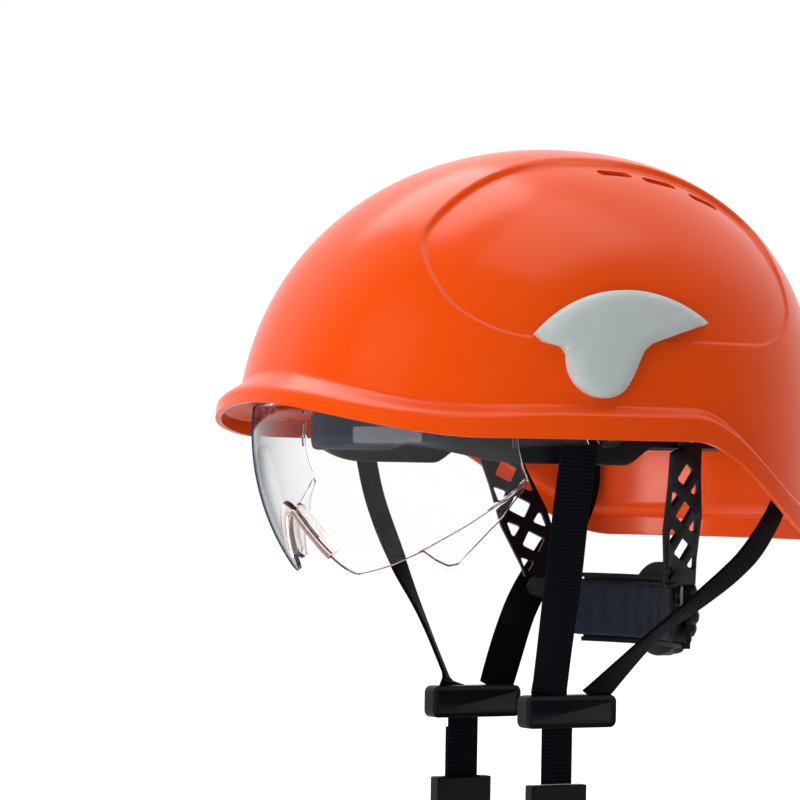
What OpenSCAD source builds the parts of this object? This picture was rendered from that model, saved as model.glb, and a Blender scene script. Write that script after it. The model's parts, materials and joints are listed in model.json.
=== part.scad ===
// Climbing style hard hat with a clear half visor, a textile cradle, a ratchet nape
// band and a four point chin strap. Millimetres, +Z up.
// Origin: centre of the headband's lower edge, where the hat sits on a head.
// -Y is the front of the hat and +X is the wearer's left.

/* [Shell] */
// Half width of the cap above its flange
cap_half_w = 104; // [95:1:112]
// From the origin to the front of the cap
cap_front = 128.5; // [120:0.5:140]
// From the origin to the back of the cap
cap_back = 133; // [125:0.5:145]
// Height of the cap above the origin
cap_h = 130.7; // [120:0.1:150]
// Wall of the cap
cap_wall = 2.6; // [2:0.1:4]
// Height of the front rim
rim_front = 16.6; // [10:0.1:22]
// Height of the rim at the ears
rim_side = 2.75; // [0:0.05:8]
// Height of the rim at the nape
rim_back = -39.25; // [-50:0.25:-20]
// Reach of the rim flange at the sides
flange_side = 5.2; // [3:0.1:8]
// Reach of the small brim at the front
flange_front = 9.5; // [6:0.1:14]
// Depth of the recessed side panels below the centre ridge
panel_depth = 2.6; // [0.5:0.1:3.5]
// Thickness of the side plates
plate_t = 4.5; // [3:0.1:7]

/* [Visor] */
// Radius of the visor about its hinge
visor_r = 102.3; // [90:0.1:103]
// Half width of the visor at its hinge
visor_half_w = 97.5; // [90:0.1:98]
// Thickness of the visor
visor_t = 2; // [1.5:0.1:3]
// Hinge axis: distance behind the origin is positive
hinge_y = -21.5; // [-26:0.5:-16]
// Hinge axis: height
hinge_z = 6; // [4:0.5:9]
// Diameter of the hinge pin
hinge_d = 4; // [3:0.5:5]
// Radius of the eye at the end of each visor arm
eye_r = 6.5; // [5:0.5:8]
// How far the soft nose bridge reaches towards the face
nose_rim = 7; // [5:0.5:12]

/* [Headband] */
// Half length of the headband, outside
band_half_l = 98; // [90:1:104]
// Half width of the headband, outside
band_half_w = 78; // [72:1:80]
// Wall of the headband
band_t = 2.2; // [1.6:0.1:3]
// Height of the headband at the front
band_h = 25; // [20:0.5:30]
// Height of the headband at the sides
band_side_h = 15; // [12:0.5:20]
// Thickness of the brow pad
pad_t = 6; // [4:0.5:8]

/* [Nape] */
// Radius of the nape cradle
nape_r = 82.6; // [78:0.2:86]
// Centre of the cradle's arc in front of the origin is negative
nape_y = -16.6; // [-20:0.2:-14]
// Height of the ratchet knob's axis
knob_z = -71; // [-76:0.5:-68]
// Radius of the ratchet knob
knob_r = 21; // [17:0.5:24]
// Radius of the pinion
pinion_r = 5.5; // [4.5:0.1:6]
// Diameter of the knob's shaft
shaft_d = 6; // [4:0.5:7]

/* [Webbing] */
// Width of the webbing
web_w = 15.5; // [14:0.5:20]
// Thickness of the webbing
web_t = 1.5; // [1:0.1:2]
// Half distance between the two sides of the chin loop
loop_r = 38; // [34:1:42]

/* [Hidden] */

$fn = 64;
fit = 0.3;                  // gap between neighbours that are not a fit
run = 0.05;                 // radial running clearance of a pin in its bore

// ---- shared curves ----
function smooth(t) = let (c = min(max(t, 0), 1)) c * c * (3 - 2 * c);
function mix3(a, b, t) = a + (b - a) * t;
function unit3(v) = v / norm(v);

// ---- cap surface: phi is 0 at the front and 90 at the wearer's left ----
plan_n = 2.27;              // squareness of the plan
rise_m = 2.33;              // how late the wall leans in
rise_k = 2.13;
crown_y = 12;               // the crown lies this far behind the middle
cap_cols = 72;
cap_rows = 17;
edge_deg = 360 / cap_cols;

function off_front(phi) = abs(phi > 180 ? phi - 360 : phi);
function cap_len(phi, inset) = (cos(phi) > 0 ? cap_front : cap_back) - inset;
function cap_plan(phi, inset) =
    pow(pow(abs(sin(phi)) / (cap_half_w - inset), plan_n)
        + pow(abs(cos(phi)) / cap_len(phi, inset), plan_n), -1 / plan_n);
function cap_lean(z, inset) =
    z <= 0 ? 1 : pow(max(1 - pow(min(z / (cap_h - inset), 1), rise_m), 0), 1 / rise_k);
function cap_shift(z) = z <= 0 ? 0 : crown_y * pow(min(z / cap_h, 1), 1.5);
function rim_z(phi) = let (d = off_front(phi))
    rim_side + (rim_front - rim_side) * (1 - smooth(d / 49.6))
    + (rim_back - rim_side) * smooth((d - 98) / 43.5);
function brim(phi) = 1 - smooth((off_front(phi) - 25) / 43);
function flange(phi) = mix3(flange_side, flange_front, brim(phi));
function flange_out(phi, h) = let (flat = mix3(9, 5, brim(phi)), blend = mix3(6, 9, brim(phi)))
    flange(phi) * (1 - smooth((h - flat) / blend));
function side_x(y, z, inset) = let (lean = cap_lean(z, inset), s = y - cap_shift(z),
    len = ((s < 0 ? cap_front : cap_back) - inset) * lean)
    (cap_half_w - inset) * lean * pow(max(1 - pow(abs(s) / len, plan_n), 0), 1 / plan_n);

// The side panels: how far a point lies inside the panel's edge
panel_soft = 5;             // radius that rounds the panel's corners
function ridge_in(x, y) = abs(x) - 33.5 - 0.00135 * y * y;
function front_in(y) = 90.5 - abs(y);
function lower_in(y, z) = z - 44 - 0.0132 * pow(max(abs(y) - 55, 0), 2);
function panel_in(x, y, z) = -panel_soft * ln(exp(-ridge_in(x, y) / panel_soft)
    + exp(-front_in(y) / panel_soft) + exp(-lower_in(y, z) / panel_soft));
function panel(x, y, z) = (0.28 + 0.72 * smooth((z - 70) / 45)) * panel_depth
    * smooth((panel_in(x, y, z) + 1) / 6);

// Heights of the grid's rows, closer together near the rim and the crown
function row_z(phi, i, inset) = let (z0 = rim_z(phi), top = cap_h - inset, s = i / cap_rows)
    i <= 3 ? z0 + [0, 5, 9, 15][i]
    : mix3(z0 + 15, top, sin(90 * (i - 3) / (cap_rows - 2)));
function cap_point(phi, i, inset) = let (z = row_z(phi, i, inset), lean = cap_lean(z, inset),
    r = cap_plan(phi, inset) * lean + flange_out(phi, z - rim_z(phi)),
    x = r * sin(phi), y = -r * cos(phi) + cap_shift(z), dip = panel(x, y, z),
    n = unit3([x / 104, y / 130, lean < 1 ? z / 130 : 0.001]))
    [x - dip * n[0], y - dip * n[1], z - dip * n[2]];

// Ventilation slots under the ridge: column and row of each open cell
left_vents = [[19, 14], [23, 14], [26, 13]];
vent_cells = concat(left_vents, [for (v = left_vents) [cap_cols - 1 - v[0], v[1]]]);
function is_vent(c, r) = len([for (v = vent_cells) if (v[0] == c && v[1] == r) 1]) > 0;

function cap_id(side, c, r) = side * (cap_rows + 1) * cap_cols + r * cap_cols + (c + cap_cols) % cap_cols;
function quad(a, b, c, d) = [[a, b, c], [a, c, d]];

module shell() {
    apex = 2 * (cap_rows + 1) * cap_cols;
    points = concat(
        [for (r = [0:cap_rows]) for (c = [0:cap_cols - 1]) cap_point(c * edge_deg, r, 0)],
        [for (r = [0:cap_rows]) for (c = [0:cap_cols - 1]) cap_point(c * edge_deg, r, cap_wall)],
        [[0, crown_y, cap_h], [0, crown_y, cap_h - cap_wall]]);
    cells = [for (r = [0:cap_rows - 1]) for (c = [0:cap_cols - 1]) [c, r]];
    outside = [for (q = cells) if (!is_vent(q[0], q[1]))
        quad(cap_id(0, q[0], q[1]), cap_id(0, q[0], q[1] + 1),
            cap_id(0, q[0] + 1, q[1] + 1), cap_id(0, q[0] + 1, q[1]))];
    inside = [for (q = cells) if (!is_vent(q[0], q[1]))
        quad(cap_id(1, q[0], q[1]), cap_id(1, q[0] + 1, q[1]),
            cap_id(1, q[0] + 1, q[1] + 1), cap_id(1, q[0], q[1] + 1))];
    rim = [for (c = [0:cap_cols - 1])
        quad(cap_id(0, c, 0), cap_id(0, c + 1, 0), cap_id(1, c + 1, 0), cap_id(1, c, 0))];
    crown = [for (c = [0:cap_cols - 1]) [
        [cap_id(0, c, cap_rows), apex, cap_id(0, c + 1, cap_rows)],
        [cap_id(1, c + 1, cap_rows), apex + 1, cap_id(1, c, cap_rows)]]];
    slots = [for (v = vent_cells) let (c = v[0], r = v[1]) each [
        quad(cap_id(0, c, r), cap_id(0, c + 1, r), cap_id(1, c + 1, r), cap_id(1, c, r)),
        quad(cap_id(0, c + 1, r + 1), cap_id(0, c, r + 1), cap_id(1, c, r + 1), cap_id(1, c + 1, r + 1)),
        quad(cap_id(0, c, r + 1), cap_id(0, c, r), cap_id(1, c, r), cap_id(1, c, r + 1)),
        quad(cap_id(0, c + 1, r), cap_id(0, c + 1, r + 1), cap_id(1, c + 1, r + 1), cap_id(1, c + 1, r))]];
    walls = [for (s = slots) [for (t = s) [t[0], t[2], t[1]]]];
    color("orangered") polyhedron(points, [for (g = concat(outside, inside, rim, crown, walls)) each g]);
}

// ---- side plates ----
plate_mid = [-22, 46];      // centre of the plate's outline in y, z
lobe_mid = [-22, 36];
lobe_r = 16;
top_mid = [-11, 4.5];
top_r = 61;
function arc2(mid, r, a0, a1, n) = [for (i = [0:n]) let (a = a0 + (a1 - a0) * i / n)
    mid + r * [cos(a), sin(a)]];
plate_outline = concat([[-54, 47], [-46, 43.5], [-40.5, 41.2]], arc2(lobe_mid, lobe_r, 166, 374, 16),
    [[-3, 43.5], [10, 48]], arc2(top_mid, top_r, 52.7, 134, 14));
plate_rings = [[1, 0], [1, 0.65], [0.94, 0.95], [0.55, 1], [0.2, 1]];   // share of outline, share of thickness

module on_side(s) {
    if (s > 0) children();
    else mirror([1, 0, 0]) children();
}
module side_plate(s) {
    n = len(plate_outline);
    function at(k, lift) = let (q = plate_mid + (plate_outline[k % n] - plate_mid) * lift[0])
        [side_x(q[0], q[1], 0) + fit + lift[1] * plate_t, q[0], q[1]];
    rings = [for (g = plate_rings) for (k = [0:n - 1]) at(k, g)];
    back_rings = [for (g = [0.55, 0.2]) for (k = [0:n - 1]) at(k, [g, 0])];
    mid = [for (g = [0, 1]) [side_x(plate_mid[0], plate_mid[1], 0) + fit + g * plate_t, plate_mid[0], plate_mid[1]]];
    m = len(plate_rings);
    function id(r, k) = r * n + k % n;
    skin = [for (r = [0:m - 2]) for (k = [0:n - 1]) each quad(id(r, k), id(r, k + 1), id(r + 1, k + 1), id(r + 1, k))];
    cap = [for (k = [0:n - 1]) [id(m - 1, k), id(m - 1, k + 1), (m + 2) * n + 1]];
    under = [for (k = [0:n - 1]) each concat(quad(id(0, k), id(m, k), id(m, k + 1), id(0, k + 1)),
        quad(id(m, k), id(m + 1, k), id(m + 1, k + 1), id(m, k + 1)),
        [[id(m + 1, k), (m + 2) * n, id(m + 1, k + 1)]])];
    faces = [for (f = concat(skin, cap, under)) [f[0], f[2], f[1]]];
    color("lightgray") on_side(s) polyhedron(concat(rings, back_rings, mid), faces);
}

// ---- visor ----
arm_end = 86.5;
lens_top = 5.8;             // upper edge, in degrees about the hinge
lower_edge = [[27, -38.4], [42, -38.5], [57.5, -37.8], [60, -43.5], [63, -46.8], [74, -44], [82, -41], [89.4, -33], [95, -10]];
nose_top = -20.2;           // top of the nose cut-out, in degrees about the hinge
nose_half = 27;             // half width of the nose cut-out at its foot
function nose_share(x) = smooth(pow(abs(x) / nose_half, 0.87));
function lens_low(x) = abs(x) < nose_half ? mix3(nose_top, lower_edge[0][1], nose_share(x))
    : lookup(abs(x), lower_edge);
function on_visor(tau, psi, inset) = let (r = (visor_r - inset) * cos(tau))
    [(visor_half_w - inset) * sin(tau), hinge_y - r * cos(psi), hinge_z + r * sin(psi)];
// Angles of the lens's columns, closer round the nose and at the flap
half_tau = [0, 1.5, 3, 4.5, 6, 7.5, 9, 11, 13.5, 16.1, 20, 25, 30, 35, 36.2, 38, 40.3, 44, 49.5, 53, 57.3, 62, 66.5];
lens_tau = concat([for (i = [len(half_tau) - 1:-1:1]) -half_tau[i]], half_tau);
arm_half = 5;
function arm_psi(tau, side) = -3 + side * min(atan2(arm_half, visor_r * cos(tau)), 40);

module sheet(columns, rows) {
    // columns: for each column the pairs of points [outside, inside] from low to high
    n = len(columns);
    function id(c, r, k) = (c * rows + r) * 2 + k;
    big = concat(
        [for (c = [0:n - 2]) for (r = [0:rows - 2]) each concat(
            quad(id(c, r, 0), id(c, r + 1, 0), id(c + 1, r + 1, 0), id(c + 1, r, 0)),
            quad(id(c, r, 1), id(c + 1, r, 1), id(c + 1, r + 1, 1), id(c, r + 1, 1)))],
        [for (c = [0:n - 2]) each concat(
            quad(id(c, 0, 0), id(c + 1, 0, 0), id(c + 1, 0, 1), id(c, 0, 1)),
            quad(id(c, rows - 1, 0), id(c, rows - 1, 1), id(c + 1, rows - 1, 1), id(c + 1, rows - 1, 0)))],
        [for (r = [0:rows - 2]) each concat(
            quad(id(0, r, 0), id(0, r, 1), id(0, r + 1, 1), id(0, r + 1, 0)),
            quad(id(n - 1, r, 0), id(n - 1, r + 1, 0), id(n - 1, r + 1, 1), id(n - 1, r, 1)))]);
    polyhedron([for (col = columns) for (q = col) each q], big);
}

lens_rows = 8;
module lens() {
    sheet([for (tau = lens_tau) let (low = lens_low(visor_half_w * sin(tau)))
        [for (r = [0:lens_rows - 1]) let (psi = mix3(low, lens_top, r / (lens_rows - 1)))
            [on_visor(tau, psi, 0), on_visor(tau, psi, visor_t)]]], lens_rows);
}
module visor_arm(s) {
    taus = [65.5, 69, 73, 77, 80, 83, arm_end];
    list = s > 0 ? taus : [for (i = [len(taus) - 1:-1:0]) -taus[i]];
    sheet([for (tau = list) [for (r = [0:3]) let (psi = mix3(arm_psi(tau, -1), arm_psi(tau, 1), r / 3))
        [on_visor(tau, psi, 0.1), on_visor(tau, psi, visor_t - 0.1)]]], 4);
}
module visor() {
    color("aliceblue") difference() {
        union() {
            lens();
            for (s = [-1, 1]) {
                visor_arm(s);
                translate([s * (visor_half_w - visor_t / 2), hinge_y, hinge_z])
                    rotate([0, 90, 0]) cylinder(h = visor_t + 0.8, r = eye_r, center = true);
            }
        }
        for (s = [-1, 1])
            translate([s * visor_half_w, hinge_y, hinge_z]) rotate([0, 90, 0])
                cylinder(h = 12, d = hinge_d + 2 * run, center = true);
    }
}
module nose_bridge() {
    // a lip under the lens's edge, which then flares upwards behind the lens
    xs = [for (i = [-10:10]) 15.5 * sin(i * 9)];
    wall = 2.2;
    lip = visor_t + 0.5;
    flare = 3;
    color("white") for (part = [[0, lip, 0, 0], [lip - 0.1, nose_rim, 0, flare]])
        sheet([for (x = xs) let (tau = asin(x / visor_half_w), low = lens_low(x) - 0.2)
            [for (d = [wall, 0]) let (psi = low - d * 0.56)
                [on_visor(tau, psi + part[2], part[0]), on_visor(tau, psi + part[3], part[1])]]], 2);
}
module visor_tabs() {
    color("white") for (s = [-1, 1])
        translate([s * 16, hinge_y - visor_r + visor_t + 3.2 + fit, hinge_z + 8]) rotate([0, 0, s * 10])
            cube([7, 2, 5], center = true);
}
module hinge_pin(s) {
    wall_x = cap_half_w + flange_side - cap_wall - 1.6;
    eye_out = visor_half_w + fit + 0.4;
    eye_in = visor_half_w - visor_t - fit - 0.4;
    color("dimgray") translate([0, hinge_y, hinge_z]) rotate([0, s * 90, 0]) {
        translate([0, 0, eye_out]) cylinder(h = wall_x - eye_out, r = 3.8);
        translate([0, 0, eye_in - 1.4]) cylinder(h = wall_x - eye_in, d = hinge_d);
        translate([0, 0, eye_in - 1.4]) cylinder(h = 1.4, r = 3.6);
    }
}

// ---- headband and cradle ----
function oval(a, b, n = 96) = [for (i = [0:n - 1]) let (t = 360 * i / n) [a * sin(t), -b * cos(t)]];
function oval_arc(a, b, t0, t1, n) = [for (i = [0:n]) let (t = t0 + (t1 - t0) * i / n) [a * sin(t), -b * cos(t)]];
module oval_band(inset, thick, t1, n) {
    a = band_half_w - inset;
    b = band_half_l - inset;
    polygon(concat(oval_arc(a, b, -t1, t1, n), oval_arc(a - thick, b - thick, t1, -t1, n)));
}
ear_drop = 7.5;             // drop of the band's lower edge in front of the ears
module headband() {
    color("#202224") for (s = [-1, 1]) on_side(s) translate([0, 0, -ear_drop]) linear_extrude(ear_drop + 1)
        polygon(concat(oval_arc(band_half_w, band_half_l, 64, 99, 24),
            [for (i = [24:-1:0]) oval_arc(band_half_w - band_t, band_half_l - band_t, 64, 99, 24)[i]]));
    color("#202224") difference() {
        linear_extrude(band_h) difference() {
            polygon(oval(band_half_w, band_half_l));
            polygon(oval(band_half_w - band_t, band_half_l - band_t));
        }
        for (s = [-1, 1]) translate([s * band_half_w, 4, band_side_h + 20]) cube([60, 110, 40], center = true);
        for (s = [-1, 1]) for (k = [-1, 0, 1]) translate([s * band_half_w, 62 + 9 * k, 8])
            cube([90, 4, 3], center = true);
        for (s = [-1, 1]) translate([s * band_half_w, nape_top_y, nape_top_z]) rotate([0, 90, 0])
            cylinder(h = 40, d = 3 + 2 * run, center = true);
    }
}
module brow_pad() {
    color("#3a3e44") {
        translate([0, 0, -3]) linear_extrude(band_h - 1) oval_band(band_t + fit, pad_t, 62, 40);
        translate([0, 0, -3]) linear_extrude(3 - fit) oval_band(-2, 2.2 + band_t + fit, 52, 36);
        translate([0, 0, -3]) linear_extrude(band_h - 3) oval_band(-2, 2 - fit, 52, 36);
    }
}

// Catmull-Rom curve through the points of a list
function cat(p, i, t) = let (n = len(p), a = p[max(i - 1, 0)], b = p[i], c = p[i + 1], d = p[min(i + 2, n - 1)])
    0.5 * (2 * b + (c - a) * t + (2 * a - 5 * b + 4 * c - d) * t * t + (3 * b - a - 3 * c + d) * t * t * t);
function curve(p, m) = concat([for (i = [0:len(p) - 2]) for (k = [0:m - 1]) cat(p, i, k / m)], [p[len(p) - 1]]);

// A flat ribbon along a path; its broad side looks along faces[0], turns to faces[1] from
// the share turn_at of its length, and to faces[2] at its end
module ribbon(path, faces, turn_at, w, t) {
    n = len(path);
    function along(i) = unit3(path[min(i + 1, n - 1)] - path[max(i - 1, 0)]);
    function turned(i) = mix3(faces[0], faces[1], smooth((i / (n - 1) - turn_at) / 0.4));
    function face(i) = mix3(turned(i), faces[2], smooth((i / (n - 1) - 0.84) / 0.16));
    frames = [for (i = [0:n - 1]) let (a = along(i), across = unit3(cross(face(i), a)), out = cross(a, across))
        [for (q = [[-1, -1], [1, -1], [1, 1], [-1, 1]]) path[i] + across * q[0] * w / 2 + out * q[1] * t / 2]];
    strip(frames);
}
// A closed strip through four-cornered frames
module strip(frames) {
    n = len(frames);
    sides = [for (i = [0:n - 2]) for (k = [0:3]) each quad(4 * i + k, 4 * i + (k + 1) % 4,
        4 * i + 4 + (k + 1) % 4, 4 * i + 4 + k)];
    ends = concat(quad(3, 2, 1, 0), quad(4 * n - 4, 4 * n - 3, 4 * n - 2, 4 * n - 1));
    polyhedron([for (f = frames) each f], [for (f = concat(sides, ends)) [f[0], f[2], f[1]]]);
}

hook_h = 7;
crown_low = band_h + hook_h + 2 * fit;
crown_top = 104;
crown_r = 84;
crown_long = 1.03;
strap_turn = 42;            // angle of the crown straps to the middle line
module crown_strap(s, lift) {
    path = [for (i = [-9:9]) let (a = i * 10)
        [crown_r * sin(a) * sin(strap_turn), crown_r * sin(a) * cos(strap_turn) * crown_long,
            crown_low + (crown_top + lift - crown_low) * pow(abs(cos(a)), 0.9)]];
    level = [-cos(strap_turn), sin(strap_turn), 0];
    n = len(path);
    function along(i) = unit3(path[min(i + 1, n - 1)] - path[max(i - 1, 0)]);
    frames = [for (i = [0:n - 1]) let (out = cross(along(i), level))
        [for (q = [[-1, -1], [1, -1], [1, 1], [-1, 1]]) path[i] + level * q[0] * web_w / 2 + out * q[1] * web_t / 2]];
    color("#1c1e22") on_side(s) strip(frames);
}
module crown_pad() {
    color("#33373c") translate([0, 0, crown_top - 10.3]) cylinder(h = 4, r = 32);
}
module crown_hooks() {
    color("#202224") for (s = [-1, 1]) for (f = [-1, 1])
        translate([s * crown_r * sin(strap_turn), f * crown_r * cos(strap_turn) * crown_long, band_h + fit])
            rotate([0, 0, s * f > 0 ? 90 - strap_turn : 90 + strap_turn])
                translate([-3, -web_w / 2 - 2, 0]) cube([6, web_w + 4, hook_h]);
}

// ---- chin straps ----
front_path = [[88.6, -31, 52], [88.6, -31, 34], [88.4, -30.4, 16], [88.6, -30.2, 3], [80.5, -28.5, -24],
    [67, -23, -54], [54, -17.6, -78], [41, -12.2, -104.2]];
rear_path = [[78, 83, -4], [77.6, 82.3, -18], [76.2, 75, -34], [74.2, 63.2, -49], [66, 45.6, -66],
    [55, 31, -81], [42.3, 15.5, -102.1]];
front_faces = [[1, -0.05, 0], [0.914, -0.407, 0], [1, -0.1, 0]];
rear_faces = [[0.85, 0.53, 0], [0.75, 0.66, 0], [1, 0.2, 0]];
web_y = -6;                 // middle of the webbing below the dividers
divider_top = -106 - fit;
divider_h = 14;
web_top = divider_top - divider_h - fit;
male_top = web_top - 24;
male_h = 10;
female_top = male_top - male_h - fit;
female_h = 24;
loop_z = female_top - female_h - 2;

module front_strap(s) {
    color("#1c1e22") on_side(s) ribbon(curve(front_path, 3), front_faces, 0.1, web_w, web_t);
}
module rear_strap(s) {
    color("#1c1e22") on_side(s) ribbon(curve(rear_path, 3), rear_faces, 0.3, web_w, web_t);
}
module strap_buttons() {
    color("#202224") for (s = [-1, 1]) on_side(s) {
        translate([90.1, -31, 45]) rotate([0, 90, 0]) cylinder(h = 1.3, r = 7);
        translate([78, 83, -11]) rotate([0, 0, 32]) translate([web_t / 2 + fit, 0, 0]) rotate([0, 90, 0])
            cylinder(h = 3, r = 7);
    }
}
module divider(s) {
    color("#202224") translate([s * loop_r, -1, divider_top - divider_h])
        linear_extrude(divider_h) square([8, 46], center = true);
}
module strap_run(z0, z1, s) {
    translate([s * loop_r - web_t / 2, web_y - web_w / 2, z0]) cube([web_t, web_w, z1 - z0]);
}
module chin_webbing() {
    color("#1c1e22") {
        strap_run(loop_z, web_top, -1);
        strap_run(loop_z, loop_z + 1.7, 1);
        translate([0, web_y, loop_z]) rotate([90, 0, 0]) rotate([0, 0, 180]) rotate_extrude(angle = 180)
            translate([loop_r - web_t / 2, -web_w / 2]) square([web_t, web_w]);
    }
}
module buckle_webbing() {
    color("#1c1e22") strap_run(male_top + fit, web_top, 1);
}
prong_y = 8.5;
module buckle_male() {
    color("#202224") translate([loop_r, web_y, 0]) {
        translate([-3, -14, male_top - male_h]) cube([6, 28, male_h]);
        for (f = [-1, 1]) translate([-1.6, f * prong_y - 2, male_top - male_h - 14]) cube([3.2, 4, 15]);
        translate([-1.6, -1.5, male_top - male_h - 12]) cube([3.2, 3, 13]);
    }
}
module buckle_female() {
    color("#202224") difference() {
        translate([loop_r - 4, web_y - 15, female_top - female_h]) cube([8, 30, female_h]);
        translate([loop_r - 1.6 - fit, web_y - 12, female_top - 18]) cube([3.2 + 2 * fit, 24, 20]);
        for (f = [-1, 1]) translate([loop_r, web_y + f * 14, female_top - 12]) cube([12, 6, 9], center = true);
    }
}
module chin_pad() {
    color("#33373c") translate([0, web_y, loop_z]) rotate([90, 0, 0]) rotate([0, 0, 225]) rotate_extrude(angle = 90)
        translate([loop_r - web_t / 2 - fit - 4, -13]) square([4, 26]);
}
slider_z = web_top - 34;
module strap_slider() {
    color("#202224") difference() {
        translate([-loop_r - 0.9, web_y, slider_z]) cube([7, 28, 16], center = true);
        translate([-loop_r - 0.9, web_y, slider_z]) cube([4.6, web_w + 1.2, 30], center = true);
    }
}
module strap_tail() {
    color("#1c1e22") translate([-loop_r - web_t / 2 - fit - web_t, web_y - web_w / 2, slider_z - 30]) cube([web_t, web_w, 60]);
}

// ---- nape cradle and ratchet ----
nape_top_y = 32;            // hinge of the nape arms on the headband
nape_top_z = 6;
nape_top_x = band_half_w * sqrt(1 - pow(nape_top_y / band_half_l, 2));
arm_t = 2;
arm_w = 23;
arm_l = 74;
arm_lean = 17;              // degrees that the arms lean inwards
arm_sweep = 18;             // degrees that they run backwards
cradle_half = 46;
cradle_t = 2;
cradle_top = -58.7;
cradle_h = 20;
wing_h = 9;                 // height of the cradle's wing tips
wing_start = 32;
rack_t = 1.6;
house_half = 28;
house_wall = 2;
rack_in = nape_r + cradle_t / 2 + fit;
house_in = rack_in + rack_t + fit;
house_top = knob_z + 15;
house_low = knob_z - 16;
knob_y = nape_y + house_in + house_wall + fit;

module arc_wall(r_in, thick, z0, h, a0, a1) {
    // a ring sector about the cradle's axis; 0 degrees is the back, positive towards the left
    translate([0, nape_y, z0]) rotate([0, 0, 90 - a1]) rotate_extrude(angle = a1 - a0, $fn = 180)
        translate([r_in, 0]) square([thick, h]);
}
module lattice() {
    // outline of one arm: u across from -arm_w/2, v down from 0
    bar = 3;
    difference() {
        translate([-arm_w / 2, -arm_l]) square([arm_w, arm_l]);
        for (k = [0:2]) {
            y0 = -12 - 16.5 * k;
            translate([0, y0 - 4]) rotate(45) square(8.4, center = true);
            for (f = [-1, 1]) translate([f * (arm_w / 2 - bar + 0.6), y0 - 12.2])
                polygon([[0, 4.2], [0, -4.2], [-f * 5.2, 0]]);
        }
    }
}
module nape_arm(s) {
    top_x = nape_top_x + fit + 1.2;
    color("#202224") difference() {
        union() {
            translate([s * top_x, nape_top_y, nape_top_z - 3]) rotate([0, 0, s * 17]) rotate([0, s * arm_lean, 0])
                rotate([90, 0, s * 90]) linear_extrude(arm_t) rotate(s * arm_sweep) lattice();
            translate([s * (top_x + 0.4), nape_top_y, nape_top_z]) rotate([0, s * 90, 0]) cylinder(h = 4, r = 6);
        }
        translate([s * (top_x + 0.4), nape_top_y, nape_top_z]) rotate([0, 90, 0])
            cylinder(h = 30, d = 3 + 2 * run, center = true);
        translate([0, nape_top_y, cradle_top + fit - 30]) cube([200, 100, 60], center = true);
    }
}
module nape_pins() {
    color("silver") for (s = [-1, 1]) translate([s * (nape_top_x - band_t - 1.6), nape_top_y, nape_top_z])
        rotate([0, s * 90, 0]) {
            cylinder(h = 10.2, d = 3);
            translate([0, 0, 10.2]) cylinder(h = 1.2, r = 3.2);
        }
}
module nape_cradle() {
    color("#202224") difference() {
        arc_wall(nape_r - cradle_t / 2, cradle_t, cradle_top - cradle_h, cradle_h, -cradle_half, cradle_half);
        for (s = [-1, 1]) on_side(s)
            arc_wall(nape_r - 5, 10, cradle_top - cradle_h - 1, cradle_h - wing_h + 1, wing_start, cradle_half + 4);
        translate([0, nape_y + nape_r, knob_z]) rotate([90, 0, 0]) cylinder(h = 20, d = shaft_d + 2 * run, center = true);
    }
}
module nape_pad() {
    color("#33373c") arc_wall(nape_r - cradle_t / 2 - fit - 5, 5, house_low + 2, 26, -34, 34);
}
module ratchet_housing() {
    color("#202224") difference() {
        union() {
            arc_wall(house_in, house_wall, house_low, house_top - house_low, -house_half, house_half);
            for (z = [house_low, house_top - 2]) arc_wall(rack_in, house_in - rack_in + 0.1, z, 2, -house_half, house_half);
        }
        translate([0, nape_y + house_in, knob_z]) rotate([90, 0, 0])
            cylinder(h = 20, d = shaft_d + 2 * run, center = true);
    }
}
module rack(s) {
    z0 = s > 0 ? knob_z + pinion_r + fit : knob_z - pinion_r - fit - 4.5;
    a0 = s > 0 ? -10 : -30;
    color("#202224") arc_wall(rack_in + 0.1, rack_t - 0.2, z0, 4.5, a0, a0 + 40);
}
module pinion() {
    teeth = 12;
    color("silver") translate([0, nape_y + rack_in + rack_t - 0.1, knob_z]) rotate([90, 0, 0]) linear_extrude(rack_t - 0.2)
        union() {
            circle(r = pinion_r - 1.2);
            for (i = [0:teeth - 1]) rotate(i * 360 / teeth) translate([pinion_r - 1.2, 0]) square([2, 1.3], center = true);
        }
}
module ratchet_knob() {
    grips = 18;
    color("#202224") translate([0, knob_y, knob_z]) rotate([-90, 0, 0]) {
        difference() {
            cylinder(h = 11, r = knob_r);
            for (i = [0:grips - 1]) rotate(i * 360 / grips) translate([knob_r + 1.4, 0, 3]) cylinder(h = 12, r = 2.6, $fn = 24);
        }
        translate([0, 0, -(house_wall + 2 * fit)]) cylinder(h = house_wall + 2 * fit, d = shaft_d);
    }
}
// Bridges that carry the headband inside the shell, behind the visor's travel
lug_spots = [[96, 3, 2 * fit], [143, 5, 5 * fit]];   // angle from the front, underside, end gaps
lug_w = 6;
lug_h = 6;
function band_r(phi) = 1 / sqrt(pow(sin(phi) / band_half_w, 2) + pow(cos(phi) / band_half_l, 2));
module band_lugs() {
    color("#202224") for (s = [-1, 1]) on_side(s) for (q = lug_spots) {
        phi = q[0];
        r0 = band_r(phi) + q[2];
        r1 = cap_plan(phi, cap_wall) + flange_out(phi, q[1] + lug_h - rim_z(phi)) - q[2];
        rotate([0, 0, phi - 90]) translate([r0, -lug_w / 2, q[1]]) cube([r1 - r0, lug_w, lug_h]);
    }
}

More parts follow.
